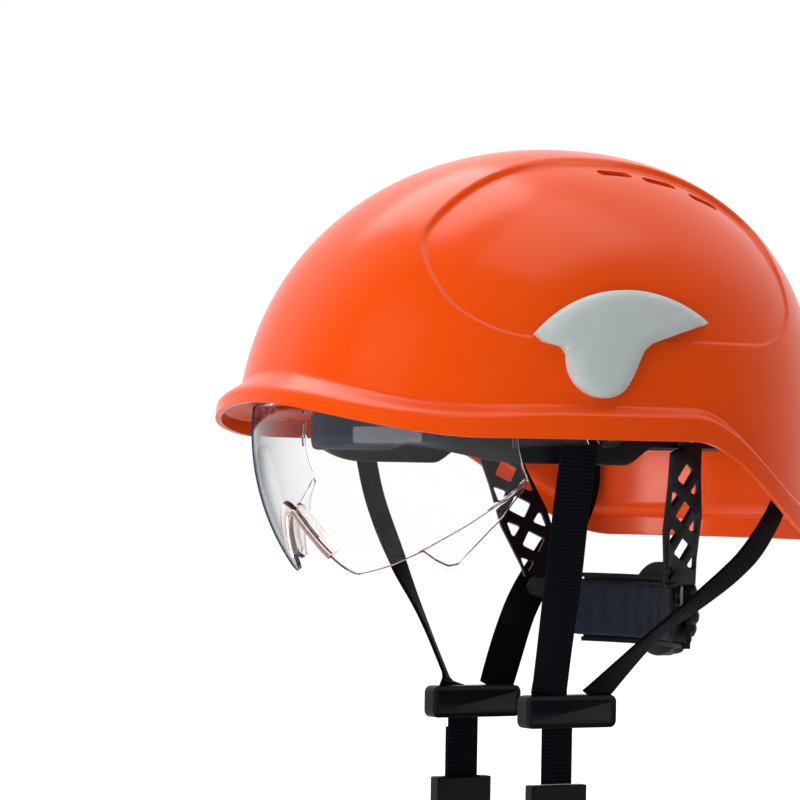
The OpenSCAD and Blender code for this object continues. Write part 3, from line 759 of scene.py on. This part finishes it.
# %% Visor surface
VISOR_R, VISOR_HALF_W, VISOR_T = 102.3, 97.5, 2.0
HINGE_Y, HINGE_Z = -21.5, 6.0
LENS_END, LENS_TOP = 66.9, 5.8
NOSE_TOP, NOSE_FOOT = -20.2, 27.0
LOWER_EDGE = [(27, -38.4), (42, -38.5), (57.5, -37.8), (59.2, -42.2), (61.5, -45.9), (64.5, -46.9),
              (74, -44.0), (82, -41), (88.4, -34.6), (89.4, -31.5), (95, -10)]
CREASE = [(57.5, -37.4), (74, -36), (86, -33.8), (89.4, -31.2), (95, -9)]


def lookup(x, table):
    return float(np.interp(abs(x), *zip(*table)))


def lens_low(x):
    if abs(x) < NOSE_FOOT:
        return mix(NOSE_TOP, LOWER_EDGE[0][1], ease((abs(x) / NOSE_FOOT) ** 0.87))
    return lookup(x, LOWER_EDGE)


def on_visor(tau, psi, inset=0.0):
    """A point of the visor, tau degrees across the face and psi degrees above the hinge."""
    t, p = radians(tau), radians(psi)
    r = (VISOR_R - inset) * cos(t)
    return Vector(((VISOR_HALF_W - inset) * sin(t), HINGE_Y - r * cos(p),
                   HINGE_Z + r * sin(p)))


def lens_spot(tau, t):
    """The lower 0.3 of the rows make the flap, which is set in below the crease."""
    x = VISOR_HALF_W * sin(radians(tau))
    low = lens_low(x)
    crease = max(lookup(x, CREASE), low + 0.25) if abs(x) > 57.5 else low + 0.25
    if t <= 0.3:
        set_in = 0.35 * ease((0.3 - t) / 0.05) * ease((abs(x) - 57) / 2)
        return on_visor(tau, mix(low, crease, t / 0.3), set_in)
    return on_visor(tau, mix(crease, LENS_TOP, (t - 0.3) / 0.7))


# %% [markdown]
# The lens ends in an arm at each side, which reaches back to an eye on the hinge pin.
# These are open sheets too, so that one Solidify modifier gives all of them the same
# wall. Its rim and a fine rib, where a flap meets the lens, get a darker pinkish finish: a painted
# reflection of the orange cap in the clear edges.

# %% Visor with arms and eyes
ARM_HALF, ARM_END, EYE_R, HINGE_D = 5.0, 84.0, 6.5, 4.2


def arm_spot(sign, u, v):
    tau = mix(LENS_END - 1.4, ARM_END, u)
    half = degrees(atan2(ARM_HALF, VISOR_R * cos(radians(tau))))
    return on_visor(sign * tau, -3 + min(half, 40) * (2 * v - 1), 0.06)


def eye_spot(sign, u, v):
    a, r = u * 2 * pi, mix(HINGE_D / 2 + 0.05, EYE_R, v)
    return Vector((sign * (VISOR_HALF_W + 0.35), HINGE_Y + r * cos(a), HINGE_Z + r * sin(a)))


def merged(*meshes):
    """Several bmeshes in one, kept as they are."""
    whole = bmesh.new()
    for bm in meshes:
        mesh = mesh_from(bm, "part")
        whole.from_mesh(mesh)
        bpy.data.meshes.remove(mesh)
    return whole


visor_sheets = [mapped(240, 56, lambda u, v: lens_spot((2 * u - 1) * LENS_END, v), ends=False)]
for sign in (1, -1):
    visor_sheets.append(mapped(16, 6, lambda u, v: arm_spot(sign, u, v), ends=False))
    visor_sheets.append(mapped(36, 3, lambda u, v: eye_spot(sign, u, v), ends=False))
for sheet in visor_sheets:
    face_out(sheet, (0, 0, HINGE_Z))
visor = piece(merged(*visor_sheets), "visor_lens", "visor", smooth=60)
with_wall(visor, VISOR_T, rim=0.35, segments=2)
# The rim gets the pinkish edge finish, a painted reflection of the orange cap.
visor.data.materials.append(FINISH["lens_edge_painted_reflection"])
visor.modifiers["wall"].material_offset_rim = 1


def rib_spot(sign, u, v):
    """A fine round rib on the outside, where the flap meets the lens."""
    x, a = mix(56.5, 88.8, u), v * 2 * pi
    tau = degrees(asin(x / VISOR_HALF_W))
    return on_visor(sign * tau, lookup(x, CREASE) + 0.28 * cos(a), -0.05 - 0.32 * sin(a))


for sign, side_name in SIDES:
    rib = mapped(40, 10, lambda u, v: rib_spot(sign, u, v))
    rib = piece(rib, f"flap_rib_{side_name}", "visor", smooth=80)
    # The rib gets the pinkish edge finish, a painted reflection of the orange cap.
    rib.data.materials[0] = FINISH["lens_edge_painted_reflection"]
print("visor faces", len(visor.data.polygons))

# %% [markdown]
# ## Nose bridge and stop tabs
# The nose bridge is a soft clear arch that grips the cut-out's edge like a channel and
# reaches inwards, where it rests on the nose. The channel's section is swept along the
# cut-out. Two clear tabs behind the upper edge stop the visor in the cap.

# %% Nose bridge
NOSE_HALF, NOSE_ARC = 15.5, 1.77  # half width, and millimetres along the face per degree
NOSE_RUN = [(-0.9, 4.6), (-1.1, 3.4), (-1.1, -0.4), (-0.6, -1.2), (0.4, -1.5), (2.6, -1.4),
            (4.4, -0.2), (6.0, 1.2), (6.3, 1.9), (5.8, 2.3), (4.2, 1.1), (3.0, 0.2), (2.3, -0.1),
            (-0.05, -0.1), (-0.05, 4.6), (-0.4, 5.0)]


def nose_spot(u, v):
    """A channel round the cut-out's edge: (inwards, away from the edge) round its section."""
    x = NOSE_HALF * sin(pi * (u - 0.5))
    slope = (lens_low(x + 0.05) - lens_low(x - 0.05)) * NOSE_ARC / 0.1
    deep, off = round_at(NOSE_RUN, v)
    off /= hypot(1, slope)
    tau = degrees(asin((x - slope * off) / VISOR_HALF_W))
    return on_visor(tau, lens_low(x) + off / NOSE_ARC, deep)


piece(mapped(90, len(NOSE_RUN), nose_spot), "nose_arch", "nose_bridge", smooth=75)
refined("visor_tabs", 0.6, "stop_tabs")
print("nose arch", 2 * NOSE_HALF, "mm wide")

# %% [markdown]
# ## Headband
# The headband is a springy strip in an oval, tall at the brow and the nape and low over
# the ears. Its section, a thin bar with round edges, is swept round the oval.

# %% Headband
BAND_HALF_W, BAND_HALF_L, BAND_T, BAND_H, BAND_SIDE_H, EAR_DROP = 78.0, 98.0, 2.2, 25.0, 15.0, 7.5


def oval_place(turn, inset, z):
    """A point round the head, turn degrees from the front towards the wearer's left."""
    a = radians(turn)
    return Vector(((BAND_HALF_W - inset) * sin(a), -(BAND_HALF_L - inset) * cos(a), z))


def band_edges(turn):
    """The height of the band's lower and upper edge."""
    y, off = -BAND_HALF_L * cos(radians(turn)), abs((turn + 180) % 360 - 180)
    high = mix(BAND_SIDE_H, BAND_H, ease((abs(y - 4) - 49) / 12))
    low = -EAR_DROP * ease((off - 26) / 38) * (1 - ease((off - 90) / 9))
    return low, high


BAND_SECTION = pill(BAND_T, 10.0, BAND_T / 2 - 0.05, 4)


def band_spot(u, v):
    out, rise = round_at(BAND_SECTION, v)
    low, high = band_edges(u * 360)
    return oval_place(u * 360, BAND_T / 2 - out, high - 5 + rise if rise > 0 else low + 5 + rise)


piece(mapped(240, len(BAND_SECTION), band_spot, ends=False), "headband_moulding", "headband", smooth=60)
for node, edge in (("crown_hooks", 1.2), ("band_lugs", 0.8), ("strap_buttons", 0.5), ("nape_pins", 0.35),
                   ("hinge_pin_left", 0.35), ("hinge_pin_right", 0.35)):
    refined(node, edge)
print("headband", BAND_H, "mm at the brow and", BAND_SIDE_H, "mm at the ears")

# %% [markdown]
# ## Webbing
# Webbing bends along its length but stays straight across. A smooth curve runs through a
# few points, the strap's sideways direction is turned along it, and a flat section with
# round edges is swept through. The UV map counts millimetres across and along, so that
# the weave keeps its size on every strap.

# %% Webbing helpers
WEB_W, WEB_T = 15.5, 1.5
WEB_SECTION = pill(WEB_W, WEB_T, WEB_T / 2 - 0.01, 3)


def run_along(points):
    """How far along a line each of its points is."""
    run = [0.0]
    for one, other in zip(points, points[1:]):
        run.append(run[-1] + dist(one, other))
    return run


WEB_ACROSS = run_along(WEB_SECTION + WEB_SECTION[:1])


def curve(points, steps):
    """A smooth line through points (Catmull and Rom's)."""
    p = [Vector(q) for q in points]
    line = []
    for i in range(len(p) - 1):
        a, b, c, d = p[max(i - 1, 0)], p[i], p[i + 1], p[min(i + 2, len(p) - 1)]
        for k in range(steps):
            t = k / steps
            line.append(0.5 * (2 * b + (c - a) * t + (2 * a - 5 * b + 4 * c - d) * t * t
                               + (3 * b - a - 3 * c + d) * t ** 3))
    return line + [p[-1]]


def strap_mesh(path, across, sign=1):
    """Webbing along path, with the sideways direction across(i) at its i-th point."""
    last, run = len(path) - 1, run_along(path)

    def spot(u, v):
        i, (sideways, thick) = round(u * last), round_at(WEB_SECTION, v)
        ahead = (path[min(i + 1, last)] - path[max(i - 1, 0)]).normalized()
        wide = across(i)
        wide = (wide - ahead * wide.dot(ahead)).normalized()
        p = path[i] + wide * sideways + ahead.cross(wide) * thick
        return Vector((sign * p.x, p.y, p.z))

    def thread(u, v):
        return (WEB_ACROSS[round(v * len(WEB_SECTION))], run[round(u * last)])

    return mapped(last, len(WEB_SECTION), spot, thread)


def web(mesh, node, name=None):
    return piece(mesh, name or node + "_web", node, smooth=70)


TURN_SHARES = (0.4, 0.3, 0.04)  # the share of a strap's length that each turn takes


def facing_strap(points, faces, starts, sign):
    """Webbing whose broad side looks along faces[0] and turns to each next one from starts."""
    path = curve(points, 14)
    last = len(path) - 1

    def across(i):
        face = Vector(faces[0])
        for toward, start, share in zip(faces[1:], starts, TURN_SHARES):
            face = face.lerp(Vector(toward), ease((i / last - start) / share))
        ahead = (path[min(i + 1, last)] - path[max(i - 1, 0)]).normalized()
        return face.cross(ahead)

    return strap_mesh(path, across, sign)


print("webbing", WEB_W, "mm wide")

# %% [markdown]
# ## Chin straps
# A front and a rear strap on each side come down from the cap and meet in a divider
# under the ear. Below it one strap runs round under the chin.

# %% Side straps
FRONT_PATH = [(88.6, -31, 52), (88.6, -31, 34), (88.4, -30.4, 16), (88.6, -30.2, 3), (80.5, -28.5, -24),
              (67, -23, -54), (54, -17.6, -78), (39, -11.4, -108.2)]
REAR_PATH = [(78, 83, -4), (77.6, 82.3, -18), (76.2, 75, -34), (74.2, 63.2, -49), (66, 45.6, -66),
             (55, 31, -81), (38.9, 11.3, -107.8)]
FRONT_FACES = ((1, -0.05, 0), (0.914, -0.407, 0), (0.66, -0.75, 0), (1, -0.1, 0))
REAR_FACES = ((0.85, 0.53, 0), (0.75, 0.66, 0), (1, 0.2, 0))
SIDE_STRAPS = (("front", FRONT_PATH, FRONT_FACES, (0.1, 0.62, 0.96)),
               ("rear", REAR_PATH, REAR_FACES, (0.3, 0.8)))
for sign, side_name in SIDES:
    for end, path, faces, starts in SIDE_STRAPS:
        web(facing_strap(path, faces, starts, sign), f"{end}_strap_{side_name}")
print("four side straps")

# %% Chin loop
WEB_Y, LOOP_R, LOOP_Z, WEB_TOP, MALE_TOP = -6.0, 38.0, -180.9, -120.6, -144.6


def backwards(i):
    return Vector((0, 1, 0))


def loop_path():
    down = [Vector((-LOOP_R, WEB_Y, mix(WEB_TOP, LOOP_Z, i / 24))) for i in range(24)]
    turn = [Vector((-LOOP_R * cos(a), WEB_Y, LOOP_Z - LOOP_R * sin(a)))
            for a in (pi * i / 48 for i in range(49))]
    return down + turn + [Vector((LOOP_R, WEB_Y, LOOP_Z + 1.7))]


def straight(x, low, high):
    return [Vector((x, WEB_Y, mix(low, high, i / 16))) for i in range(17)]


web(strap_mesh(loop_path(), backwards), "chin_webbing", "chin_loop_web")
web(strap_mesh(straight(-LOOP_R - 1.8, -184.6, -124.6), backwards), "strap_tail")
short = strap_mesh(straight(LOOP_R, MALE_TOP + 0.3, WEB_TOP), backwards)
short_web = web(short, "buckle_webbing", "buckle_web")
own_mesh(short_web)
print("chin loop", round(pi * LOOP_R + 2 * (WEB_TOP - LOOP_Z)), "mm long")

# %% Crown straps
CROWN_LOW, CROWN_TOP, CROWN_R, CROWN_LONG, CROWN_TURN = 32.6, 104.0, 84.0, 1.03, radians(42)
for sign, lift, node in ((1, 0.0, "crown_strap_a"), (-1, 2.5, "crown_strap_b")):
    path = []
    for i in range(61):
        a = radians(3 * i - 90)
        path.append(Vector((CROWN_R * sin(a) * sin(CROWN_TURN),
                            CROWN_R * sin(a) * cos(CROWN_TURN) * CROWN_LONG,
                            mix(CROWN_LOW, CROWN_TOP + lift, abs(cos(a)) ** 0.9))))
    level = Vector((-cos(CROWN_TURN), sin(CROWN_TURN), 0))
    web(strap_mesh(path, lambda i: level, sign), node)
print("crown straps cross", CROWN_TOP, "mm above the headband's lower plane")

# %% [markdown]
# ## Pads
# Each pad is foam in a knit cover. A closed form a little thinner than the pad is blown
# up as cloth: its middle swells and its edges pull in, as a sewn cover does. How far a
# point may move is capped, so a pad stays clear of its neighbours.

# %% Swelling
SWELL_FRAMES, SWELL_PRESSURE, SWELL_VOXEL = 20, 4.0, 1.6


def pad(name, bm, most):
    """A padded piece that swells by at most so many millimetres."""
    obj = piece(bm, name + "_cushion", name + "_pad", smooth=180)
    swell(obj, most)
    finer = obj.modifiers.new("finer", "SUBSURF")
    finer.levels = finer.render_levels = 1


def evaluated(obj):
    bpy.context.view_layer.update()
    return bpy.data.meshes.new_from_object(obj.evaluated_get(bpy.context.evaluated_depsgraph_get()))


def swell(obj, most):
    """Remeshes a closed form evenly, blows it up as cloth and keeps the shape."""
    even = obj.modifiers.new("even", "REMESH")
    even.mode = "VOXEL"
    even.voxel_size = SWELL_VOXEL * MM
    obj.data = evaluated(obj)
    obj.modifiers.remove(even)
    start = np.array([v.co for v in obj.data.vertices])
    cloth = obj.modifiers.new("cover", "CLOTH")
    cloth.settings.use_pressure = True
    cloth.settings.uniform_pressure_force = SWELL_PRESSURE
    cloth.settings.effector_weights.gravity = 0
    cloth.settings.quality = 6
    cloth.point_cache.frame_end = SWELL_FRAMES
    for frame_number in range(1, SWELL_FRAMES + 1):
        scene.frame_set(frame_number)
    moved = np.array([v.co for v in evaluated(obj).vertices]) - start
    far = np.linalg.norm(moved, axis=1, keepdims=True)
    keep = np.minimum(1.0, most * MM / np.maximum(far, 1e-9))
    obj.modifiers.remove(cloth)
    obj.data.vertices.foreach_set("co", (start + moved * keep).ravel())
    obj.data.shade_smooth()
    scene.frame_set(1)
    print(obj.name, "swelled by up to", round(float((far * keep).max()) * 1000, 2), "mm")


print("pads swell over", SWELL_FRAMES, "frames")

# %% Brow pad
PAD_OUT, PAD_IN, PAD_LOW, PAD_HIGH, PAD_TURN, PAD_END = 1.7, 7.8, -3.0, 22.0, 62.0, 11.0
PAD_SECTION = pill(2.0, 2.0, 0.62, 6)


def brow_spot(u, v):
    turn = PAD_TURN * (2 * u - 1)
    from_end = (PAD_TURN - abs(turn)) / PAD_TURN * BAND_HALF_L
    rounding = quarter(from_end / PAD_END)
    out, rise = round_at(PAD_SECTION, v)
    low = PAD_LOW + 5.5 * ease((abs(turn) - 21) / 15)
    centre = (low + PAD_HIGH) / 2
    half = (PAD_HIGH - low) / 2 - PAD_END * (1 - rounding)
    thin = mix(0.45, 1.0, ease(from_end / 9))
    inset = (BAND_T / 2) - out * thin * (PAD_OUT if out > 0 else PAD_IN)
    return oval_place(turn, inset, centre + rise * half)


pad("brow", mapped(90, len(PAD_SECTION), brow_spot), 0.9)
print("brow pad runs", PAD_TURN, "degrees to each side")

# %% Nape pad
NAPE_R, NAPE_Y, KNOB_Z = 82.6, -16.6, -71.0
NAPE_PAD_R, NAPE_PAD_TURN = 78.8, 33.6


def nape_place(turn, r, z):
    """A point on the cradle, turn degrees from the back towards the wearer's left."""
    a = radians(turn)
    return Vector((r * sin(a), NAPE_Y + r * cos(a), z))


def nape_pad_spot(u, v):
    out, rise = round_at(PAD_SECTION, v)
    turn = NAPE_PAD_TURN * (2 * u - 1)
    from_end = (NAPE_PAD_TURN - abs(turn)) * 1.37  # millimetres
    rounding = quarter(from_end / 8)
    ribs = 0.35 * cos(turn * radians(360 / 8.4))
    r = NAPE_PAD_R + out * (2.1 + (ribs if out < 0 else 0)) * mix(0.6, 1, rounding)
    return nape_place(turn, r, KNOB_Z - 1 + rise * (12.4 - 8 * (1 - rounding)))


pad("nape", mapped(120, len(PAD_SECTION), nape_pad_spot), 0.35)

# %% Crown pad and chin pad
CROWN_RUN = [(0, -1.6), (10, -1.75), (20, -1.8), (27, -1.6), (30, -1.0), (31.3, 0), (30, 1.0),
             (27, 1.6), (20, 1.8), (10, 1.75), (0, 1.6)]


def crown_spot(u, v):
    """A disc with four shallow notches round it."""
    a = u * 2 * pi
    r, z = CROWN_RUN[round(v * (len(CROWN_RUN) - 1))]
    petals = 1 - 0.03 * abs(cos(2 * a)) * (r / 31)
    return Vector((r * petals * cos(a), r * petals * sin(a), 95.7 + z))


pad("crown", mapped(72, len(CROWN_RUN) - 1, crown_spot), 0.5)


CHIN_TURN = 45


def chin_spot(u, v):
    out, rise = round_at(PAD_SECTION, v)
    turn = mix(-CHIN_TURN, CHIN_TURN, u)
    a = radians(turn)
    rounding = quarter((CHIN_TURN - abs(turn)) * 0.62 / 7)
    r = LOOP_R - 3.05 + out * 1.75 * mix(0.6, 1, rounding)
    return Vector((r * sin(a), WEB_Y + rise * (12.3 - 7 * (1 - rounding)), LOOP_Z - r * cos(a)))


pad("chin", mapped(60, len(PAD_SECTION), chin_spot), 0.2)
print("four pads")

# %% [markdown]
# ## Nape arms
# Two lattice arms hang from the headband and carry the nape cradle. The lattice is a flat
# outline with diamond and triangle holes, all with round corners. `triangle_fill` fills
# between them, the faces are pushed to their thickness, and the foot is cut level.

# %% Lattice arms
ARM_T, ARM_LEAN, ARM_YAW, ARM_SWEEP, ARM_FOOT = 2.0, 17.0, 17.0, 18.0, -58.4
ARM_BACK = 32.0  # the arm's pin, behind the middle
ARM_TOP = (BAND_HALF_W * sqrt(1 - (ARM_BACK / BAND_HALF_L) ** 2) + 1.5, ARM_BACK, 3.0)


def rounded(corners, radius):
    """The closed line through corners, each replaced with an arc."""
    line = []
    for i, corner in enumerate(corners):
        c = Vector(corner)
        to_last = (Vector(corners[i - 1]) - c).normalized()
        to_next = (Vector(corners[(i + 1) % len(corners)]) - c).normalized()
        half = to_last.angle(to_next) / 2
        cut = radius / tan(half)
        middle = c + (to_last + to_next).normalized() * radius / sin(half)
        one, other = c + to_last * cut - middle, c + to_next * cut - middle
        for k in range(6):
            line.append(middle + one.slerp(other, k / 5))
    return line


def flat_plate(loops, thick):
    """A plate with holes: the first loop is its outline."""
    bm = bmesh.new()
    edges = []
    for loop in loops:
        ring = [bm.verts.new((p[0], p[1], 0)) for p in loop]
        edges += [bm.edges.new((ring[i - 1], ring[i])) for i in range(len(ring))]
    bmesh.ops.triangle_fill(bm, edges=edges, use_beauty=True, use_dissolve=False)
    top = bmesh.ops.extrude_face_region(bm, geom=bm.faces[:])
    raised = [g for g in top["geom"] if isinstance(g, bmesh.types.BMVert)]
    bmesh.ops.translate(bm, verts=raised, vec=(0, 0, thick))
    bmesh.ops.recalc_face_normals(bm, faces=bm.faces)
    rims = [e for e in bm.edges if len(e.link_faces) == 2 and e.calc_face_angle() > 1.2]
    bmesh.ops.bevel(bm, geom=rims, offset=0.45, offset_type="OFFSET", affect="EDGES", segments=3,
                    profile=0.5, material=-1, clamp_overlap=True)
    return bm


def lattice_loops():
    right = [(10.8, -0.4), (11.4, -18), (10.2, -38), (11.4, -58), (11.5, -74)]
    left = [(-x, y) for x, y in right]
    loops = [rounded(left[:1] + right + left[:0:-1], 2.6)]
    for k in range(3):
        y = -15 - 17.5 * k
        loops.append(rounded([(0, y + 6.3), (-6.3, y), (0, y - 6.3), (6.3, y)], 1.4))
        for side_sign in (-1, 1):
            x = side_sign * 8.6
            loops.append(rounded([(x, y - 4.6), (x, y - 12.9), (x - side_sign * 5.2, y - 8.75)], 0.8))
    return loops


def nape_arm(sign):
    bm = flat_plate(lattice_loops(), ARM_T)
    boss = bmesh.new()
    bmesh.ops.create_cone(boss, cap_ends=True, segments=40, radius1=6, radius2=5.4, depth=4)
    spin_back = Matrix.Rotation(radians(-sign * ARM_SWEEP), 4, "Z")
    bmesh.ops.transform(boss, matrix=spin_back @ Matrix.Translation((0, 3, 2.4)), verts=boss.verts)
    bm = merged(bm, boss)
    turns = ((ARM_YAW, "Z"), (ARM_LEAN, "Y"), (90, "Z"), (90 * sign, "X"), (ARM_SWEEP, "Z"))
    place = Matrix.Translation((sign * ARM_TOP[0], ARM_TOP[1], ARM_TOP[2]))
    for turn, axis in turns:
        place = place @ Matrix.Rotation(radians(sign * turn), 4, axis)
    bmesh.ops.transform(bm, matrix=place, verts=bm.verts)
    cut = bmesh.ops.bisect_plane(bm, geom=bm.verts[:] + bm.edges[:] + bm.faces[:],
                                 plane_co=(0, 0, ARM_FOOT), plane_no=(0, 0, -1), clear_outer=True)
    rim = [e for e in cut["geom_cut"] if isinstance(e, bmesh.types.BMEdge)]
    bmesh.ops.holes_fill(bm, edges=rim, sides=0)
    return bm


for sign, side_name in SIDES:
    node = f"nape_arm_{side_name}"
    piece(nape_arm(sign), node + "_lattice", node, smooth=30)
print("two lattice arms")

# %% [markdown]
# ## Nape cradle and ratchet
# The cradle is a curved band behind the neck. The size wheel behind it turns a pinion
# between two racks. The wheel is turned from a profile, with scallops for the fingers, so
# its radius changes round the rim as well as along its depth.

# %% Cradle
CRADLE_SECTION = pill(2.0, 4.0, 0.9, 4)
CRADLE_TURN, CRADLE_TOP = 45.9, -58.7


def cradle_spot(u, v):
    turn = CRADLE_TURN * (2 * u - 1)
    out, rise = round_at(CRADLE_SECTION, v)
    high = mix(20.0, 9.0, ease((abs(turn) - 26) / 7))
    tip = 3.5 * (1 - quarter((CRADLE_TURN - abs(turn)) * 1.44 / 4))
    top, low = CRADLE_TOP - tip, CRADLE_TOP - high + tip
    return nape_place(turn, NAPE_R + out, (top if rise > 0 else low) + rise - (2 if rise > 0 else -2))


piece(mapped(100, len(CRADLE_SECTION), cradle_spot), "nape_cradle_band", "nape_cradle", smooth=60)
for node, edge in (("ratchet_housing", 0.7), ("rack_left", 0.3), ("rack_right", 0.3), ("pinion", 0.12)):
    refined(node, edge)
print("cradle", CRADLE_TURN * 2, "degrees round the nape")

# %% Size wheel
KNOB_Y, KNOB_GRIPS = 70.9, 18
KNOB_PROFILE = [(0, -2.6), (2.7, -2.6), (2.95, -2.35), (2.95, 0), (19, 0), (20.6, 0.3), (21, 1),
                (21, 2.4), (21, 3.2), (21, 5), (21, 7.5), (20.6, 9.2), (19.4, 10.4), (17.6, 11),
                (16.2, 10.9), (15.2, 10.1), (14.2, 9.8), (10, 9.9), (6, 10.2), (5, 10.6), (4, 10.8),
                (0, 10.9)]


def knob_spot(u, v):
    a = u * 2 * pi
    r, deep = KNOB_PROFILE[round(v * (len(KNOB_PROFILE) - 1))]
    grip = 0.5 + 0.5 * cos(a * KNOB_GRIPS)
    scallop = 1.5 * grip ** 3 * ease((deep - 2.6) / 1.2) * ease((r - 16.5) / 3)
    return Vector(((r - scallop) * cos(a), KNOB_Y + deep, KNOB_Z + (r - scallop) * sin(a)))


piece(mapped(216, len(KNOB_PROFILE) - 1, knob_spot), "size_wheel", "ratchet_knob", smooth=40)
print("size wheel with", KNOB_GRIPS, "scallops")

# %% [markdown]
# ## Dividers, buckle and slider
# These small mouldings keep the frame's shape, with the round that a mould leaves on their
# edges. Each divider has a sunk field with a raised pad on both broad sides.

# %% Small mouldings
def framed_block(node, corner, rim, deep):
    """A block with round corners; rim is the field's distance from the edge, deep its depth."""
    bm = joined(node)
    cross = [e for e in bm.edges if abs((e.verts[0].co - e.verts[1].co).normalized().x) > 0.99]
    bmesh.ops.bevel(bm, geom=cross, offset=corner * MM, offset_type="OFFSET", affect="EDGES",
                    segments=5, profile=0.5, material=-1)
    broad = [f for f in bm.faces if abs(f.normal.x) > 0.99]
    for thick, depth in ((rim, -deep), (rim * 0.55, deep * 0.7)):
        bmesh.ops.inset_region(bm, faces=broad, thickness=thick * MM, depth=depth * MM,
                               use_even_offset=True)
    with_round(piece(bm, node + "_moulding", node, smooth=35, scale=1.0), 0.4, 3)


for node in ("divider_left", "divider_right"):
    framed_block(node, 3.0, 2.0, 0.8)
for node, edge in (("buckle_male", 0.8), ("buckle_female", 1.2), ("strap_slider", 1.0)):
    refined(node, edge, segments=3)
print("small mouldings")
